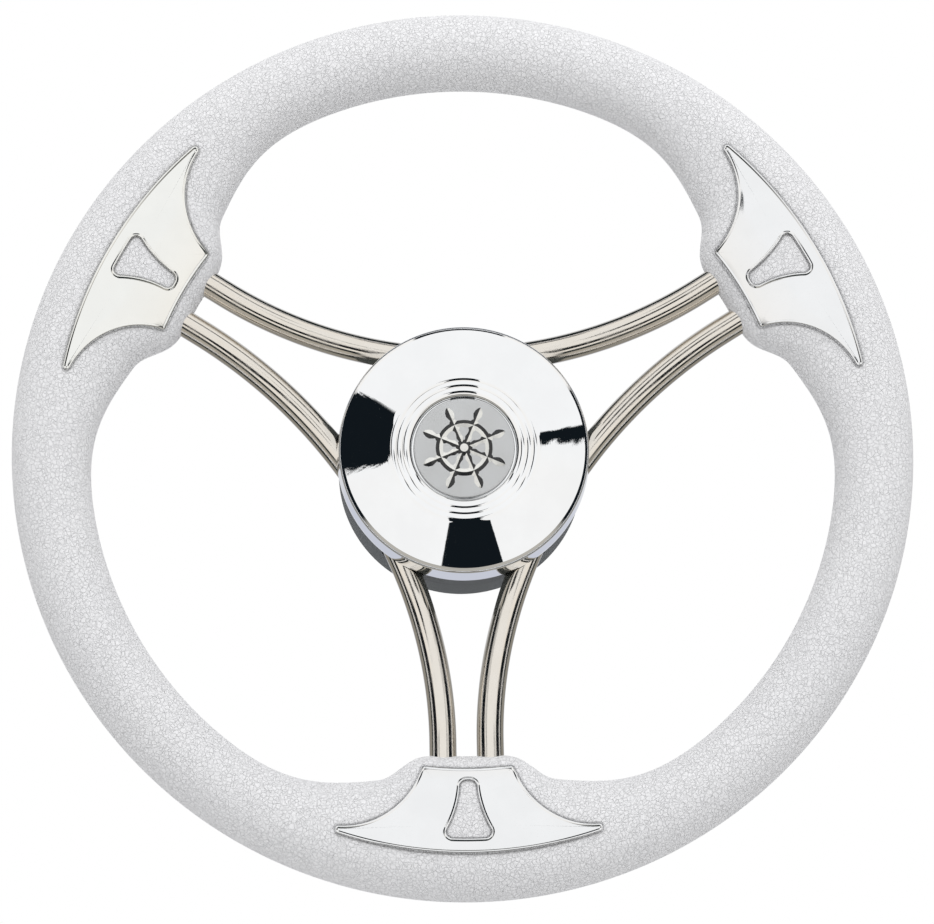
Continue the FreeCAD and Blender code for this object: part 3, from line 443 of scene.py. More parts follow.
# %% [markdown]
# ## Soft lips round the plates
# Where a plate is let into the grip, the moulding turns down to it with a soft round lip. A
# boolean cuts that lip: a closed profile is carried along each outline, deep next to the plate
# and running out tangent to the skin, and taken away from the grip. Sculpting would leave an
# uneven edge, and a bevel needs clean edge loops that a cut surface doesn't have. Where a tube
# enters, a cylinder takes away a fine gap, as the moulding shrinks back a little there.

# %% Cutters of the lips
PLATE_LIP = ((-0.5, 1.6), (-0.5, -0.9), (0.22, -0.85), (0.42, -0.5), (0.75, -0.2),
             (1.1, -0.05), (1.4, 0.015), (1.6, 1.6))
WINDOW_LIP = ((-0.5, 1.6), (-0.5, -0.9), (0.16, -0.85), (0.3, -0.5), (0.5, -0.2),
              (0.7, -0.06), (0.9, 0.015), (0.95, 1.6))


def on_front(points, offset, extra):
    """Points of the flat drawing lifted to the grip's front, grown by an offset, plus extra."""
    radius = np.abs(points)
    angle = 90 - np.degrees(np.angle(points))
    height = DISH + front_height(radius, angle, offset) + extra
    return np.stack([points.real, -height, points.imag], -1)


def carried(loop, profile, direction):
    """Profile of distances and heights carried along a loop, across it in this direction."""
    across = outward(loop) * direction
    return np.stack([on_front(loop + across * away, 0.0, up) for away, up in profile])


print("lips", PLATE_LIP[-1][0], "and", WINDOW_LIP[-1][0], "mm wide")

# %% Cutters of the tubes' entries
TUBE_RADIUS, BEND, LEAN = 5.25, 172.0, math.radians(26.0)
ARCH_HEIGHT, ARC_CENTRE = 13.97, 216.12
LEG_END = (127.95, 93.9)
BEND_END = 92.96
bend_end = np.array([BEND_END, ARC_CENTRE - BEND * math.cos(math.asin(BEND_END / BEND))])
LEG_ALONG = (np.array(LEG_END) - bend_end) / np.linalg.norm(np.array(LEG_END) - bend_end)
ENTRY_GAP, ENTRY_START, ENTRY_LENGTH = 0.42, 27.0, 20.0


def entry_cutter(side):
    """Cylinder a little wider than a tube, on the line of its leg where it enters a node.

    The leg's line is drawn in the tube's own leaning plane and stands upright like the top
    tube; side 1 is its right leg and -1 its left one.
    """
    start = np.array(LEG_END) - LEG_ALONG * ENTRY_START
    length = np.linspace(0, ENTRY_LENGTH, 9)
    turn = np.linspace(0, 2 * math.pi, 64, endpoint=False)
    size = np.full(len(length), TUBE_RADIUS + ENTRY_GAP)
    size[[0, -1]] = 0.0
    length[1], length[-2] = 0.0, length[-1]
    flat = start + length[:, None] * LEG_ALONG
    across = np.array([-LEG_ALONG[1], LEG_ALONG[0]])
    x = flat[:, :1] + across[0] * size[:, None] * np.cos(turn)
    lean = flat[:, 1:] + across[1] * size[:, None] * np.cos(turn)
    lift = size[:, None] * np.sin(turn)
    return np.stack([side * x, -(ARCH_HEIGHT + lean * math.sin(LEAN) + lift * math.cos(LEAN)),
                     lean * math.cos(LEAN) - lift * math.sin(LEAN)], -1)


print("gap of", ENTRY_GAP, "mm round each tube")

# %% Take the cutters away from the grip
cutter_meshes = []
for degrees in TUBE_ANGLES.values():
    for side in (1, -1):
        grid = turned(entry_cutter(side), degrees)
        cutter_meshes.append(tidied(mesh_of("entry_cutter", grid, False, True), 180))
for degrees in NODE_ANGLES.values():
    for loop, profile, direction in ((plate_loop, PLATE_LIP, 1), (window_loop, WINDOW_LIP, -1)):
        grid = turned(carried(loop[::2], profile, direction), degrees)
        cutter_meshes.append(tidied(mesh_of("lip_cutter", grid, True, True), 180))

grip = bpy.data.objects.new("grip_with_lips", grip_mesh)
COLLECTION.objects.link(grip)
cutters = []
for mesh in cutter_meshes:
    cutter = bpy.data.objects.new("lip_cutter", mesh)
    COLLECTION.objects.link(cutter)
    cutters.append(cutter)
    cut = grip.modifiers.new("lip", "BOOLEAN")
    cut.operation = "DIFFERENCE"
    cut.solver = "EXACT"
    cut.object = cutter
graph = bpy.context.evaluated_depsgraph_get()
cut_mesh = bpy.data.meshes.new_from_object(grip.evaluated_get(graph))
for used in cutters + [grip]:
    bpy.data.objects.remove(used)
cut_mesh.name = "grip_leather"
cut_mesh.materials.clear()
tidied(cut_mesh, 38)
add_piece("grip_leather", cut_mesh, grip_white, "rim_grip")
print("grip", sum(len(face.vertices) - 2 for face in cut_mesh.polygons), "triangles")

# %% [markdown]
# ## Mirror chrome
# The trim plates and the cap are plated plastic: a mirror with a slight waviness from the
# moulding, fine polishing marks and a faint film of dust and finger marks that changes the
# gloss from place to place. Chrome has almost no colour of its own, so its look comes from the
# studio that it mirrors.

# %% Chrome material
def chrome_finish(name, colour, wave_depth, clear=0.03, filmed=0.09):
    """Metal with waves of this depth in millimetres, fine marks and a film in patches.

    The roughness goes from clear to filmed.
    """
    material, tree, shader = new_finish(name, Metallic=1.0, Roughness=0.05,
                                        Base_Color=(*colour, 1))
    place = millimetres(tree)
    film = noise(tree, place, 0.06, 4.0, 0.6)
    marks = noise(tree, place, 1.1, 3.0, 0.6)
    tree.links.new(step_between(tree, film, 0.46, 0.72, clear, filmed),
                   shader.inputs["Roughness"])
    tree.links.new(blend_colours(tree, step_between(tree, film, 0.35, 0.7),
                                 (*[part * 0.97 for part in colour], 1), (*colour, 1)),
                   shader.inputs["Base Color"])
    tree.links.new(bump(tree, marks, wave_depth), shader.inputs["Normal"])
    return material


# The three plates are the same chrome: the greenish tint of the left plate and the bluish tint of
# the other two are painted reflections of the room's colours.
trim_chrome = {
    "trim_left": chrome_finish("trim_chrome_left", (0.885, 0.89, 0.865), 0.0009),
    "trim_right": chrome_finish("trim_chrome_right", (0.875, 0.885, 0.895), 0.0009),
    "trim_bottom": chrome_finish("trim_chrome_bottom", (0.875, 0.885, 0.895), 0.0009)}
print("finishes", *(finish.name for finish in trim_chrome.values()))

# %% [markdown]
# ## Trim plates
# A plate is a thin moulding whose face follows the grip and stands a little proud of it. A bead
# runs along both edges, with a fine valley between it and the face. The bead's section is given
# by its slope in degrees at a few lengths along it: it turns from upright over level to the
# other side, stays there along the inner flank and comes back to level. Running sums of the
# slope's sine and cosine give the heights and the distances. The face is ruled: straight lines
# join each point of the outer outline to the point of the window's outline in the same
# direction. In a mirror the facets of such long thin quads would show, so every point gets the
# normal of the true surface, worked out from the front's height and the bead's slope.

# %% Section of the bead
RAISE, SINK_DEPTH, FACE_STEPS, BEAD_STEPS, FINE_STEPS = 0.8, 1.2, 26, 24, 600
PLATE_CENTRE = 148.5j
BEAD_TURNS = [(0.0, 90), (0.2, 26), (0.55, -6), (0.68, -31), (1.2, -34), (1.34, 8), (1.44, 0)]
at = np.linspace(0, BEAD_TURNS[-1][0], BEAD_STEPS)
SLOPES = np.radians(np.interp(at, *zip(*BEAD_TURNS)))
fine = np.linspace(0, at[-1], FINE_STEPS)
fine_slopes = np.radians(np.interp(fine, *zip(*BEAD_TURNS)))
INWARD = np.interp(at, fine, np.cumsum(np.cos(fine_slopes)) * fine[1])
RISE = np.interp(at, fine, np.cumsum(np.sin(fine_slopes)) * fine[1])
RISE -= RISE[-1]
print("bead", round(float(INWARD[-1]), 2), "mm wide, stands", round(float(RISE.max()), 2), "mm up")

# %% Normals of face and bead
def front_normal(points, offset):
    """Unit normal of the front: the height's change over a small step in x and in z."""
    small = 0.02

    def level(place):
        return front_height(np.abs(place), 90 - np.degrees(np.angle(place)), offset)

    over_x = (level(points + small) - level(points - small)) / (2 * small)
    over_z = (level(points + 1j * small) - level(points - 1j * small)) / (2 * small)
    normal = np.stack([-over_x, -np.ones_like(over_x), -over_z], -1)
    return normal / np.linalg.norm(normal, axis=-1)[..., None]


def leaning(points, across, slope):
    """Normal of the bead: the front's normal turned towards the edge by the bead's slope."""
    normal = front_normal(points, RAISE)
    sideways = np.stack([across.real, 0 * across.real, across.imag], -1)
    sideways -= normal * np.sum(sideways * normal, -1)[:, None]
    sideways /= np.linalg.norm(sideways, axis=-1)[:, None]
    return normal * math.cos(slope) + sideways * math.sin(slope)

# %% Rows of a beaded edge
def beaded_edge(loop, direction):
    """Rows of points and of normals from the sunk side over the bead to the face."""
    across = outward(loop) * direction
    rows = [on_front(loop, RAISE, -SINK_DEPTH - RAISE), on_front(loop, RAISE, RISE[0] - 0.2)]
    normals = [leaning(loop, across, math.pi / 2)] * 2
    for inward, rise, slope in zip(INWARD, RISE, SLOPES):
        points = loop - across * inward
        rows.append(on_front(points, RAISE, rise))
        normals.append(leaning(points, across, slope))
    return rows, normals


def facing_points(loop, target):
    """For each point of a loop, a point of the target loop seen in about the same direction.

    Its place along the target, counted in turns, is mostly the place in that direction and in a
    small part an even spacing, so that no two points fall together.
    """
    def direction(points):
        return np.unwrap(np.angle(points - PLATE_CENTRE))

    wanted, given = direction(loop), direction(target)
    turns = 2 * math.pi
    given = np.concatenate([given + turns * count for count in range(-2, 3)])
    repeated = np.tile(target, 5)
    places = np.arange(5 * LOOP) / LOOP
    seen = np.interp(wanted, given, places)
    even = np.arange(LOOP) / LOOP
    place = 0.85 * seen + 0.15 * (even + np.mean(seen - even))
    return np.interp(place, places, repeated.real) + 1j * np.interp(place, places,
                                                                    repeated.imag)

# %% Rows of a whole plate
def plate_rows():
    """All rows of one plate, round it from the outer side over face and window to the back."""
    outer_rows, outer_normals = beaded_edge(plate_loop, 1)
    window_shared = facing_points(plate_loop, window_loop)
    inner_rows, inner_normals = beaded_edge(window_shared, -1)
    start = plate_loop - outward(plate_loop) * INWARD[-1]
    end = window_shared + outward(window_shared) * INWARD[-1]
    parts = [start + (end - start) * t for t in np.linspace(0, 1, FACE_STEPS)[1:-1]]
    face = [on_front(points, RAISE, 0.0) for points in parts]
    face_normals = [front_normal(points, RAISE) for points in parts]
    parts = [window_shared + (plate_loop - window_shared) * t
             for t in np.linspace(0, 1, 6)[1:-1]]
    back = [on_front(points, RAISE, -SINK_DEPTH - RAISE) for points in parts]
    back_normals = [-front_normal(points, RAISE) for points in parts]
    return (np.stack(outer_rows + face + inner_rows[::-1] + back),
            np.stack(outer_normals + face_normals + inner_normals[::-1] + back_normals))

# %% Three plates
plate_points, plate_normals = plate_rows()
seen_steps = np.diff(np.unwrap(np.angle(plate_loop - PLATE_CENTRE)))
print("seen from its centre, the outline turns back by",
      round(math.degrees(max(0.0, -float(seen_steps.min()))), 3), "degrees at most")
for name, degrees in NODE_ANGLES.items():
    mesh = tidied(mesh_of(name + "_plate", turned(plate_points, degrees), True, True), 50)
    count = plate_points[..., 0].size
    if len(mesh.vertices) != count:
        raise ValueError("points of a plate were merged")
    mesh.normals_split_custom_set_from_vertices(
        turned(plate_normals, degrees).reshape(-1, 3).tolist())
    add_piece(name + "_plate", mesh, trim_chrome[name], name)

# %% [markdown]
# ## Polished stainless tubes
# Each tube is bent once, in a plane that leans back from the rim to the hub, and carries the
# rim on two legs. It is a circle carried along its centre line: straight, one arc, straight.
# The steel is warmer than chrome, and polishing leaves fine marks across the tube and a few
# longer scratches along it. Its own UV map gives the two directions.

# %% Stainless material
def stainless_finish(length, girth):
    """Marks across the tube: noise that changes fast along it and slowly round it."""
    material, tree, shader = new_finish("stainless_polished", Metallic=1.0, Roughness=0.12,
                                        Base_Color=(0.79, 0.755, 0.70, 1))
    place = tree.nodes.new("ShaderNodeTexCoord").outputs["UV"]
    spread = add_node(tree, "ShaderNodeMapping",
                      {"Vector": place, "Scale": (girth, length, 1)}).outputs[0]
    across = add_node(tree, "ShaderNodeMapping", {"Vector": spread, "Scale": (0.12, 3.5, 1)})
    along = add_node(tree, "ShaderNodeMapping", {"Vector": spread, "Scale": (1.6, 0.03, 1)})
    cross_marks = noise(tree, across.outputs[0], 1.0, 3.0, 0.6)
    long_marks = noise(tree, along.outputs[0], 1.0, 2.0, 0.5)
    both = calculate(tree, "MULTIPLY_ADD", long_marks, 0.5, cross_marks)
    tree.links.new(bump(tree, both, 0.0012), shader.inputs["Normal"])
    dull = noise(tree, millimetres(tree), 0.12, 4.0, 0.6)
    tree.links.new(step_between(tree, dull, 0.4, 0.7, 0.09, 0.2), shader.inputs["Roughness"])
    warm = blend_colours(tree, dull, (0.74, 0.70, 0.63, 1), (0.84, 0.80, 0.745, 1))
    tree.links.new(warm, shader.inputs["Base Color"])
    return material

# %% Tubes along their centre lines
ROUND_STEPS = 64


def centre_line():
    """Points of the bent line in its own plane, and the unit direction across it there.

    The right half is the arc about (0, ARC_CENTRE) and then its tangent to the leg's end.
    """
    slope = math.atan2(LEG_ALONG[1], LEG_ALONG[0])
    turn = np.linspace(0, slope, 90)
    arc = np.stack([BEND * np.sin(turn), ARC_CENTRE - BEND * np.cos(turn)], -1)
    leg = arc[-1] + np.linspace(0, 1, 30)[1:, None] * (np.array(LEG_END) - arc[-1])
    right = np.concatenate([arc, leg])
    left = right[:0:-1] * [-1, 1]
    line = np.concatenate([left, right])
    along = np.gradient(line, axis=0)
    along /= np.linalg.norm(along, axis=1)[:, None]
    return line, np.stack([-along[:, 1], along[:, 0]], -1)


def tube_grid():
    """Circle of the tube carried along the line; each end shrinks to a point in the grip."""
    line, across = centre_line()
    line = np.concatenate([line[:1], line, line[-1:]])
    across = np.concatenate([across[:1], across, across[-1:]])
    size = np.full(len(line), TUBE_RADIUS)
    size[[0, -1]] = 0.0
    turn = np.linspace(0, 2 * math.pi, ROUND_STEPS, endpoint=False)
    flat = line[:, None, :] + across[:, None, :] * (size[:, None] * np.cos(turn))[..., None]
    lift = size[:, None] * np.sin(turn)
    height = ARCH_HEIGHT + flat[..., 1] * math.sin(LEAN) + lift * math.cos(LEAN)
    level = flat[..., 1] * math.cos(LEAN) - lift * math.sin(LEAN)
    return np.stack([flat[..., 0], -height, level], -1)


line, _ = centre_line()
tube_length = float(np.linalg.norm(np.diff(line, axis=0), axis=1).sum())
stainless = stainless_finish(tube_length, 2 * math.pi * TUBE_RADIUS)
for name, degrees in TUBE_ANGLES.items():
    grid = turned(tube_grid(), degrees)
    mesh = tidied(mesh_of(name + "_bent", grid, False, True), 50)
    add_piece(name + "_bent", mesh, stainless, name)
print("tube", round(tube_length, 1), "mm long")

# %% [markdown]
# ## Chromed cap
# The cap is turned round the axle: a short side wall that narrows a little to the front, as a
# mould needs it, a round edge, a shallow cone face, three round ribs and a lip round the
# recess. A revolved profile is the natural way. The recess is closed and the wall has its
# thickness, so the cap is a whole piece from behind too.

# %% Pieces of a turned profile
TURN_STEPS = 384


def bezier(start, first, last, end, count):
    """Cubic Bezier: its points are weighted sums of the four poles."""
    t = np.linspace(0, 1, count)[:, None]
    poles = [np.array(pole, float) for pole in (start, first, last, end)]
    return ((1 - t) ** 3 * poles[0] + 3 * t * (1 - t) ** 2 * poles[1]
            + 3 * t ** 2 * (1 - t) * poles[2] + t ** 3 * poles[3])


def swollen(start, end, radius, count):
    """Round rib between two points of the profile, read from the outside inwards."""
    arc = bulging_arc(complex(*start), complex(*end), radius, -1, count)
    return np.stack([arc.real, arc.imag], -1)


def revolved(profile):
    """Each point (radius, height) of the profile goes round the axle."""
    turn = np.linspace(0, 2 * math.pi, TURN_STEPS, endpoint=False)
    radius, height = np.array(profile)[:, 0, None], np.array(profile)[:, 1, None]
    return np.stack([radius * np.cos(turn), -height + 0 * turn, radius * np.sin(turn)], -1)

# %% Cap
CAP_RADIUS, CAP_BACK, CAP_WALL, CAP_FILLET = 49.3, 40.0, 2.0, 0.25
SIDE_FRONT, FACE_RADIUS, RIB_START = 48.6, 46.9, (28.7, 57.8)
FACE_SLOPE, EDGE_SLOPE, LAND_WIDTH = 0.1364, math.radians(36), 0.8
RIB_WIDTH, RIB_DROP, RIB_SWELL, RIBS = 2.45, 0.2, 2.9, 3
RECESS_RADIUS, RECESS_FLOOR, RECESS_FILLET = 20.35, 54.4, 0.15
INNER_SIDE, INNER_EDGE, CUP_RADIUS = 52.2, 53.4, 21.6


def cap_profile():
    """Side, round edge from upright to EDGE_SLOPE, a narrow land, cone, ribs, lip and inside."""
    high = np.array([FACE_RADIUS, RIB_START[1] - (FACE_RADIUS - RIB_START[0]) * FACE_SLOPE])
    land = high + LAND_WIDTH * np.array([1.0, -math.tan(EDGE_SLOPE)])
    radius = (SIDE_FRONT - land[0]) / (1 - math.sin(EDGE_SLOPE))
    turn = np.linspace(math.pi / 2, EDGE_SLOPE, 20)
    edge = np.stack([SIDE_FRONT - radius * (1 - np.sin(turn)),
                     land[1] - radius * (math.cos(EDGE_SLOPE) - np.cos(turn))], -1)
    edge = np.concatenate([edge, np.linspace(land, high, 4)[1:]])
    low = edge[0]
    cone = np.linspace(high, RIB_START, 14)[1:-1]
    ribs = []
    start = np.array(RIB_START)
    for _ in range(RIBS):
        end = start - [RIB_WIDTH, RIB_DROP]
        ribs.append(swollen(start, end, RIB_SWELL, 14))
        start = end
    lip = bezier(start, start + [-0.35, -0.1], (RECESS_RADIUS + 0.3, start[1] - 0.48),
                 (RECESS_RADIUS, start[1] - 0.88), 10)
    recess = np.array([[0, RECESS_FLOOR], [RECESS_RADIUS - RECESS_FILLET, RECESS_FLOOR],
                       [RECESS_RADIUS, RECESS_FLOOR + RECESS_FILLET]])
    foot = np.array([[CAP_RADIUS - CAP_FILLET, CAP_BACK], [CAP_RADIUS, CAP_BACK + CAP_FILLET]])
    side = np.linspace([CAP_RADIUS, CAP_BACK + 0.6], low, 6)[:-1]
    outside = np.concatenate([foot, side, edge, cone] + ribs + [lip])
    back = np.array([[CAP_RADIUS - CAP_WALL, CAP_BACK], [CAP_RADIUS - CAP_WALL, INNER_SIDE],
                     [FACE_RADIUS - CAP_WALL / 2, INNER_EDGE],
                     [RIB_START[0], RIB_START[1] - CAP_WALL],
                     [CUP_RADIUS, RECESS_FLOOR - CAP_WALL], [0, RECESS_FLOOR - CAP_WALL]])
    return np.concatenate([recess, outside[::-1], back])


cap_chrome = chrome_finish("cap_chrome", (0.915, 0.925, 0.935), 0.0004, 0.006, 0.02)
cap_mesh = tidied(mesh_of("cap_turned", revolved(cap_profile()), False, True), 22)
add_piece("cap_turned", cap_mesh, cap_chrome, "hub_cap")

# %% [markdown]
# ## Silver disc with a plain ship's wheel
# A satin disc with a slightly domed face lies in the recess. It carries a raised ship's wheel
# as a general nautical sign: a ring, a button and eight turned spokes with handles. Each spoke
# has two sloping facets, one filled with black enamel and one bright, which reads well from
# afar. The facets follow the dome.

# %% Materials of disc and motif
silver_satin, tree, shader = new_finish("silver_satin", Metallic=1.0, Roughness=0.38,
                                        Base_Color=(0.74, 0.75, 0.76, 1))
place = millimetres(tree)
grain = noise(tree, place, 3.0, 2.0)
cloud = noise(tree, place, 0.07, 3.0)
tree.links.new(bump(tree, grain, 0.004), shader.inputs["Normal"])
tree.links.new(step_between(tree, cloud, 0.35, 0.65, 0.33, 0.45), shader.inputs["Roughness"])
tree.links.new(blend_colours(tree, cloud, (0.60, 0.615, 0.625, 1), (0.66, 0.67, 0.675, 1)),
               shader.inputs["Base Color"])

enamel_black, tree, shader = new_finish("enamel_black", Base_Color=(0.010, 0.011, 0.012, 1),
                                        Roughness=0.2, IOR=1.5)
speck = noise(tree, millimetres(tree), 2.0, 3.0)
tree.links.new(blend_colours(tree, speck, (0.006, 0.007, 0.008, 1), (0.02, 0.021, 0.022, 1)),
               shader.inputs["Base Color"])
tree.links.new(bump(tree, speck, 0.003), shader.inputs["Normal"])

facet_bright, tree, shader = new_finish("facet_bright", Metallic=0.6, Roughness=0.32,
                                        Base_Color=(0.80, 0.80, 0.77, 1))
speck = noise(tree, millimetres(tree), 2.4, 3.0)
tree.links.new(blend_colours(tree, speck, (0.74, 0.74, 0.71, 1), (0.84, 0.84, 0.81, 1)),
               shader.inputs["Base Color"])
tree.links.new(bump(tree, speck, 0.002), shader.inputs["Normal"])
print("finishes", silver_satin.name, enamel_black.name, facet_bright.name)

# %% Disc
DISC_RADIUS, DISC_EDGE, DOME = 19.6, 56.4, 0.5


def dome_height(radius):
    """The dome falls with the square of the distance from the axle."""
    return DISC_EDGE + DOME * (1 - (radius / DISC_RADIUS) ** 2)


def disc_profile():
    """Domed face, a Bezier curve over the rim, the upright edge and the flat back."""
    radius = np.linspace(0, DISC_RADIUS - 0.45, 40)
    face = np.stack([radius, dome_height(radius)], -1)
    rim = bezier(face[-1], (DISC_RADIUS - 0.15, face[-1, 1] - 0.02),
                 (DISC_RADIUS, DISC_EDGE - 0.2), (DISC_RADIUS, DISC_EDGE - 0.45), 8)[1:]
    return np.concatenate([face, rim, [[DISC_RADIUS, RECESS_FLOOR], [0, RECESS_FLOOR]]])


disc_mesh = tidied(mesh_of("disc_silver", revolved(disc_profile()), False, True), 35)
add_piece("disc_silver", disc_mesh, silver_satin, "emblem_disc")

# %% Parts of the motif
SPOKE_OUTLINE = np.array([[2.0, 1.5], [3.2, 0.95], [4.4, 1.35], [5.8, 0.9], [7.0, 0.85],
                          [8.0, 1.5], [11.2, 1.5], [11.8, 0.8], [12.6, 1.2], [14.0, 1.75],
                          [15.4, 1.5], [16.6, 0.8], [17.2, 0.05]])


def ridge(radius, half_width, angle, side, rise):
    """Strip from a ridge down to one side; it stands on the dome along a ray."""
    share = np.array([0.0, 0.5, 1.0, 1.0])[None, :]
    lift = np.array([1.0, 0.5, 0.02, -0.3])[None, :]
    along, across = radius[:, None], side * half_width[:, None] * share
    x = along * math.cos(angle) - across * math.sin(angle)
    z = along * math.sin(angle) + across * math.cos(angle)
    height = dome_height(np.hypot(x, z)) + rise * np.minimum(half_width[:, None], 1.0) * lift
    return np.stack([x, -height, z], -1)


def joined(name, grids, close_columns=False):
    """Several grids in one mesh."""
    work = bmesh.new()
    for grid in grids:
        work.from_mesh(mesh_of(name, grid, False, close_columns))
    mesh = bpy.data.meshes.new(name)
    bmesh.ops.remove_doubles(work, verts=work.verts, dist=1e-7)
    work.to_mesh(mesh)
    work.free()
    mesh.shade_smooth()
    mesh.set_sharp_from_angle(angle=math.radians(25))
    return mesh


def band(radii, lifts, rise):
    """Ring band on the dome between rows of given radii and lifts."""
    turn = np.linspace(0, 2 * math.pi, 160, endpoint=False)
    rows = [np.stack([r * np.cos(turn), -(dome_height(r) + rise * up) + 0 * turn,
                      r * np.sin(turn)], -1) for r, up in zip(radii, lifts)]
    return np.stack(rows)

# %% Ship's wheel on the disc
along = np.linspace(SPOKE_OUTLINE[0, 0], SPOKE_OUTLINE[-1, 0], 76)
width = np.interp(along, SPOKE_OUTLINE[:, 0], SPOKE_OUTLINE[:, 1])
rays = [math.radians(22.5 + 45 * count) for count in range(8)]
SPOKE_RISE, RING_RISE, BUTTON_RISE = 0.42, 0.45, 0.55
black_parts = [ridge(along, width, ray, 1, SPOKE_RISE) for ray in rays]
bright_parts = [ridge(along, width, ray, -1, SPOKE_RISE)[:, ::-1] for ray in rays]
black_bands = [band((9.6, 10.3, 11.0, 11.02), (1, 0.55, 0.05, -0.4), RING_RISE),
               band((1.6, 2.4, 3.2, 3.22), (1, 0.7, 0.05, -0.4), BUTTON_RISE)]
bright_bands = [band((8.18, 8.2, 8.9, 9.6), (-0.4, 0.05, 0.55, 1), RING_RISE),
                band((0.0, 0.6, 1.2, 1.6), (1.15, 1.12, 1.05, 1), BUTTON_RISE)]
for name, parts, bands, material in (("motif_enamel", black_parts, black_bands, enamel_black),
                                     ("motif_facets", bright_parts, bright_bands,
                                      facet_bright)):
    spokes = joined(name, parts)
    rings = joined(name + "_rings", bands, True)
    work = bmesh.new()
    work.from_mesh(spokes)
    work.from_mesh(rings)
    work.to_mesh(spokes)
    work.free()
    add_piece(name, spokes, material)

# %% [markdown]
# ## Charcoal housing, steel boss, disc and screws
# These parts keep their CAD meshes, because their shapes are right. The housing is a charcoal
# moulding with a fine spark-eroded texture that scatters small glints, and the shade of the
# fine step below its lip lies in the colour. The boss and the disc are turned steel: rings of
# tool marks about the axle, a thin yellowish zinc film and stains.

# %% Charcoal moulding
STEP_HEIGHTS = 23.8, 24.4, 25.2, 25.8
charcoal, tree, shader = new_finish("charcoal_texture", Roughness=0.5, IOR=1.4)
place = millimetres(tree)
sparkle = noise(tree, place, 2.2, 4.0, 0.7)
wide = noise(tree, place, 0.05, 3.0)
tree.links.new(bump(tree, sparkle, 0.07), shader.inputs["Normal"])
tone = blend_colours(tree, step_between(tree, sparkle, 0.35, 0.7),
                     (0.022, 0.028, 0.029, 1), (0.10, 0.117, 0.118, 1))
worn = blend_colours(tree, calculate(tree, "MULTIPLY", wide, 0.25), tone, (0.08, 0.087, 0.09, 1))
height = calculate(tree, "MULTIPLY",
                   add_node(tree, "ShaderNodeSeparateXYZ", {0: place}).outputs[1], -1.0)
# Painted shade: a darker band between these heights stands for the shade of the fine step below
# the lip.
step_shade = calculate(tree, "MULTIPLY", step_between(tree, height, *STEP_HEIGHTS[:2]),
                 step_between(tree, height, *STEP_HEIGHTS[2:], 1.0, 0.0))
tree.links.new(blend_colours(tree, calculate(tree, "MULTIPLY", step_shade, 0.75), worn,
                             (0.02, 0.025, 0.027, 1)), shader.inputs["Base Color"])
tree.links.new(step_between(tree, sparkle, 0.3, 0.7, 0.38, 0.62), shader.inputs["Roughness"])
print("housing: shaded step from", STEP_HEIGHTS[0], "to", STEP_HEIGHTS[-1], "mm")

# %% Turned steel
def turned_steel(name, pale, dark):
    """Tool marks are waves of the distance from the axle, bent a little by noise."""
    material, tree, shader = new_finish(name, Metallic=1.0, Roughness=0.3,
                                        Base_Color=(*pale, 1))
    place = millimetres(tree)
    parts = add_node(tree, "ShaderNodeSeparateXYZ", {0: place})
    flat = add_node(tree, "ShaderNodeCombineXYZ", {0: parts.outputs[0], 2: parts.outputs[2]})
    reach = add_node(tree, "ShaderNodeVectorMath", {0: flat.outputs[0]},
                     operation="LENGTH").outputs["Value"]
    marks = add_node(tree, "ShaderNodeCombineXYZ", {0: reach, 1: parts.outputs[1]})
    tool = noise(tree, marks.outputs[0], 4.0, 3.0, 0.6)
    stain = noise(tree, place, 0.09, 4.0, 0.65)
    tree.links.new(bump(tree, tool, 0.02), shader.inputs["Normal"])
    tree.links.new(blend_colours(tree, step_between(tree, stain, 0.35, 0.65), (*dark, 1),
                                 (*pale, 1)), shader.inputs["Base Color"])
    tree.links.new(step_between(tree, stain, 0.3, 0.7, 0.42, 0.26), shader.inputs["Roughness"])
    return material


steel_plated = turned_steel("steel_plated", (0.62, 0.62, 0.60), (0.50, 0.49, 0.45))
screw_plated = turned_steel("screw_plated", (0.70, 0.70, 0.69), (0.56, 0.55, 0.52))
for node, material in (("hub_base", charcoal), ("hub_boss", steel_plated),
                       ("hub_plate", steel_plated), ("rim_core", steel_plated),
                       ("base_screws", screw_plated)):
    slots = nodes[node].material_slots
    for slot in slots:
        slot.material = material
    print(node, len(slots), "slot")

# %% [markdown]
# ## Studio
# The wheel stands before a white background, and a wide soft light above gives the grip its
# gentle shading. What the camera and clear paths see is white. What metal mirrors is the
# studio itself: white screens in front and above, dark gaps between them, a warm grey room
# behind, and a dark strip with a ragged skyline on the left and the right. That is where the
# dark streaks of the tubes and the dark fields of the cap come from. An HDR photograph of a
# studio would do the same, but this pattern needs no file. It belongs to the world, so it stays
# still when the camera moves. Matt surfaces see only a soft plain room that
# is a little lighter behind the wheel than before it.

# %% Directions in the world
world = bpy.data.worlds.new("studio")
bpy.context.scene.world = world
world.use_nodes = True
tree = world.node_tree
tree.nodes.clear()
looking = tree.nodes.new("ShaderNodeTexCoord").outputs["Generated"]
parts = add_node(tree, "ShaderNodeSeparateXYZ", {0: looking})
dx, dy, dz = parts.outputs
ahead = calculate(tree, "MULTIPLY", dy, -1.0)
DEGREE = 180 / math.pi
opening = calculate(tree, "MULTIPLY", calculate(tree, "ARCCOSINE", ahead), DEGREE)
azimuth = calculate(tree, "MULTIPLY", calculate(tree, "ARCTAN2", dx, ahead), DEGREE)
elevation = calculate(tree, "MULTIPLY", calculate(tree, "ARCSINE", dz), DEGREE)
print("directions", len(tree.nodes), "nodes")

# %% Tones round the front
def ring_tones(stops):
    """Colours over the angle from the front, each stop in degrees of 180."""
    ramp = add_node(tree, "ShaderNodeValToRGB",
                    {0: calculate(tree, "DIVIDE", opening, 180.0)})
    elements = ramp.color_ramp.elements
    while len(elements) < len(stops):
        elements.new(0.5)
    for element, (degrees, colour) in zip(elements, stops):
        element.position = degrees / 180
        element.color = (*colour, 1)
    return ramp.outputs[0]


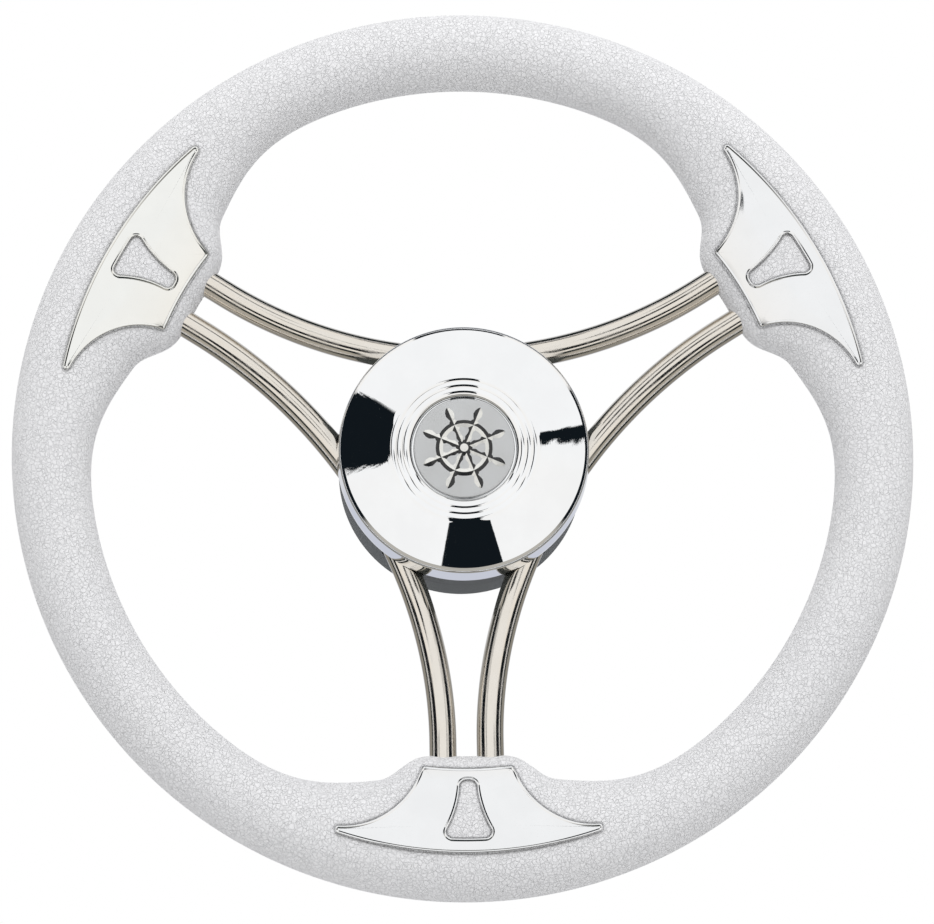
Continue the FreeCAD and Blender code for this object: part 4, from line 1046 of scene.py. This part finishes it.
def inside(value, low, high, soft):
    """One between low and high, with soft edges, as the product of two steps."""
    return calculate(tree, "MULTIPLY", step_between(tree, value, low - soft, low + soft),
                     step_between(tree, value, high - soft, high + soft, 1.0, 0.0))


WHITE, CREAM, DARK = (1.0, 1.0, 1.0), (1.0, 0.97, 0.93), (0.012, 0.020, 0.022)
GREY, TAUPE = (0.31, 0.30, 0.275), (0.50, 0.475, 0.43)
SKY, LAVENDER = (0.72, 0.73, 0.76), (0.60, 0.62, 0.70)
above = ring_tones([(0, WHITE), (50, WHITE), (90, CREAM), (93, DARK), (122, DARK),
                    (127, SKY), (168, SKY), (174, WHITE)])
beside = ring_tones([(0, WHITE), (58, CREAM), (63, DARK), (104, DARK), (110, GREY),
                     (150, GREY), (157, LAVENDER), (166, LAVENDER), (172, WHITE)])
below = ring_tones([(0, WHITE), (43, CREAM), (47, DARK), (58, DARK), (63, TAUPE), (80, TAUPE),
                    (84, DARK), (108, DARK), (114, GREY), (150, GREY), (157, LAVENDER),
                    (168, LAVENDER), (174, WHITE)])
flat_length = calculate(tree, "SQRT", calculate(tree, "ADD",
                                                calculate(tree, "MULTIPLY", dx, dx),
                                                calculate(tree, "MULTIPLY", dz, dz)))
upwards = calculate(tree, "DIVIDE", dz, calculate(tree, "MAXIMUM", flat_length, 0.001))
mirrored = blend_colours(tree, step_between(tree, upwards, 0.30, 0.62), beside, above)
mirrored = blend_colours(tree, step_between(tree, upwards, -0.62, -0.30, 1.0, 0.0), mirrored,
                         below)
print("with tones", len(tree.nodes), "nodes")

# %% Dark fields
FIELD_TONE = (0.006, 0.009, 0.012, 1)
aside = calculate(tree, "ABSOLUTE", azimuth)
skyline = add_node(tree, "ShaderNodeCombineXYZ", {0: azimuth, 1: 0.37, 2: 0.61}).outputs[0]
coarse = calculate(tree, "SUBTRACT", noise(tree, skyline, 2.2, 1.0), 0.5)
fine = calculate(tree, "SUBTRACT", noise(tree, skyline, 11.0, 2.0, 0.8), 0.5)
ragged = calculate(tree, "MULTIPLY_ADD", fine, 4.5, calculate(tree, "MULTIPLY", coarse, 3.0))
trees = calculate(tree, "ADD", elevation, ragged)
sky_edge = calculate(tree, "MULTIPLY_ADD", fine, 1.2, elevation)
sideways = calculate(tree, "DIVIDE", dx,
                     calculate(tree, "MAXIMUM", calculate(tree, "MULTIPLY", dz, -1.0), 0.001))


def skyline_field(left, right, soft, tree_line, sky_line):
    """Dark between two azimuths, from the ragged tops of the trees up to the edge of the sky."""
    return inside(azimuth, left, right, soft), calculate(
        tree, "MULTIPLY", step_between(tree, trees, tree_line, tree_line + 0.15),
        step_between(tree, sky_edge, sky_line, sky_line + 0.2, 1.0, 0.0))


fields = [
    # the dark fields on the cap's left, on its lower part and on its right
    skyline_field(-28, -13.2, 0.2, 7.8, 19.0),
    (inside(azimuth, -1.7, 7.0, 0.06), inside(elevation, -28, -1.5, 0.15)),
    skyline_field(9.3, 24, 0.4, 11.6, 14.0),
    # the arcs on the cap's ribs
    (inside(sideways, -0.28, 0.48, 0.02),
     calculate(tree, "MULTIPLY", inside(opening, 10, 33, 0.4),
               step_between(tree, elevation, -4.0, -3.5, 1.0, 0.0))),
    # the line along the upper tubes
    (inside(aside, 33, 90, 1.5), inside(elevation, 32, 37.5, 1.0)),
    # the edge of the cap on both sides
    (inside(upwards, -0.45, 0.62, 0.04), inside(opening, 62, 84, 1.0)),
    (inside(aside, 54, 90, 1.5), inside(elevation, 2, 33, 1.5)),
    # flanks of ribs and beads that look steeply upwards
    (calculate(tree, "MULTIPLY", inside(dx, -0.3, 0.3, 0.02), step_between(tree, dz, 0.0, 0.2)),
     inside(opening, 72, 102, 1.5))]
masks = [calculate(tree, "MULTIPLY", first, second) for first, second in fields]
dark_field = masks[0]
for mask in masks[1:]:
    dark_field = calculate(tree, "MAXIMUM", dark_field, mask)
mirrored = blend_colours(tree, dark_field, mirrored, FIELD_TONE)
print("dark fields", len(fields))

# %% What each kind of ray sees
paths = tree.nodes.new("ShaderNodeLightPath")
seen = calculate(tree, "MAXIMUM", paths.outputs["Is Camera Ray"],
                 paths.outputs["Is Transmission Ray"])
SOFT_FRONT, SOFT_BACK = 0.80, 1.16
soft_level = step_between(tree, opening, 60.0, 100.0, SOFT_FRONT, SOFT_BACK)
plain = add_node(tree, "ShaderNodeBackground", {0: (1, 1, 1, 1), 1: soft_level})
studio = add_node(tree, "ShaderNodeBackground", {0: mirrored, 1: 1.0})
white = add_node(tree, "ShaderNodeBackground", {0: (1, 1, 1, 1), 1: 1.0})
lit = add_node(tree, "ShaderNodeMixShader",
               {0: paths.outputs["Is Glossy Ray"], 1: plain.outputs[0],
                2: studio.outputs[0]})
shown = add_node(tree, "ShaderNodeMixShader", {0: seen, 1: lit.outputs[0],
                                               2: white.outputs[0]})
add_node(tree, "ShaderNodeOutputWorld", {0: shown.outputs[0]})
print("world nodes", len(tree.nodes))

# %% [markdown]
# ## Lamp and floor
# One wide lamp above and in front is enough with so much light from all sides. It is kept out
# of mirrored paths, because the world already draws the screens that the metal shows. The
# floor lies well below the wheel, out of the first view, and keeps the wheel's soft shadow.

# %% Lamp
def lamp(name, place, target, size, watts):
    """A square soft lamp that looks from its place to the target."""
    light = bpy.data.lights.new(name, "AREA")
    light.shape = "SQUARE"
    light.size = size
    light.energy = watts
    item = bpy.data.objects.new(name, light)
    look = np.array(target, float) - np.array(place, float)
    back = -look / np.linalg.norm(look)
    side = np.cross([0, 0, 1], back)
    side /= np.linalg.norm(side)
    up = np.cross(back, side)
    matrix = np.eye(4)
    matrix[:3, :3] = np.stack([side, up, back], -1)
    matrix[:3, 3] = place
    item.matrix_world = Matrix(matrix.tolist())
    item.visible_glossy = False
    item.visible_camera = False
    COLLECTION.objects.link(item)
    return item


screen = lamp("screen_above", (0.25, -1.3, 1.5), (0, 0, 0), 1.4, 16)
print(screen.name, round(screen.data.size, 1), "m wide,", round(screen.data.energy), "W")

# %% Floor
FLOOR_LEVEL, FLOOR_HALF = -0.42, 4000
spread = np.linspace(-FLOOR_HALF, FLOOR_HALF, 9)
floor_x, floor_y = np.meshgrid(spread, spread)
floor_grid = np.stack([floor_x, floor_y, np.full_like(floor_x, FLOOR_LEVEL / MM)], -1)
floor_mesh = mesh_of("floor", floor_grid)
floor_white, tree, shader = new_finish("floor_white", Base_Color=(0.72, 0.72, 0.72, 1),
                                       Roughness=0.7)
dust = noise(tree, millimetres(tree), 0.004, 3.0)
tree.links.new(blend_colours(tree, dust, (0.70, 0.70, 0.70, 1), (0.74, 0.74, 0.74, 1)),
               shader.inputs["Base Color"])
floor = bpy.data.objects.new("floor", floor_mesh)
floor_mesh.materials.append(floor_white)
floor.visible_glossy = False
COLLECTION.objects.link(floor)
print("floor at", FLOOR_LEVEL, "m")

# %% [markdown]
# ## Camera
# The photograph was taken from a little below the axle with a long lens. The camera's place
# was fitted to the outlines of rim, trim and hub: it is turned by a pitch, a yaw and a roll
# about the middle of the rim, at a distance, with a small offset of that middle in the picture.

# %% Camera from the fit
PITCH, YAW, ROLL = (math.radians(value) for value in (-10.75, 1.73, 0.63))
DISTANCE, OFFSET_X, OFFSET_Y, PIXELS_PER_MM = 1700.0, -1.28, 4.22, 2.5752
IMAGE_WIDTH, SENSOR = 934, 36.0
cp, sp = math.cos(PITCH), math.sin(PITCH)
cy, sy = math.cos(YAW), math.sin(YAW)
cr, sr = math.cos(ROLL), math.sin(ROLL)
about_x = np.array([[1, 0, 0], [0, cp, -sp], [0, sp, cp]])
about_y = np.array([[cy, 0, sy], [0, 1, 0], [-sy, 0, cy]])
about_z = np.array([[cr, -sr, 0], [sr, cr, 0], [0, 0, 1]])
fit = about_z @ about_x @ about_y
to_wheel = np.array([[1, 0, 0], [0, 0, -1], [0, 1, 0]])
eye = to_wheel @ fit.T @ np.array([-OFFSET_X, -OFFSET_Y, DISTANCE]) - [0, DISH, 0]
matrix = np.eye(4)
matrix[:3, :3] = to_wheel @ fit.T
matrix[:3, 3] = eye * MM
view = bpy.data.cameras.new("view")
view.sensor_fit = "HORIZONTAL"
view.sensor_width = SENSOR
view.lens = PIXELS_PER_MM * DISTANCE * SENSOR / IMAGE_WIDTH
view.clip_end = 50.0
camera = bpy.data.objects.new("view", view)
camera.matrix_world = Matrix(matrix.tolist())
COLLECTION.objects.link(camera)
bpy.context.scene.camera = camera
bpy.context.scene.view_settings.view_transform = "Standard"
print("camera at", [round(float(value), 1) for value in eye], "mm, lens", round(view.lens, 1))

# %% Update the scene
bpy.context.view_layer.update()
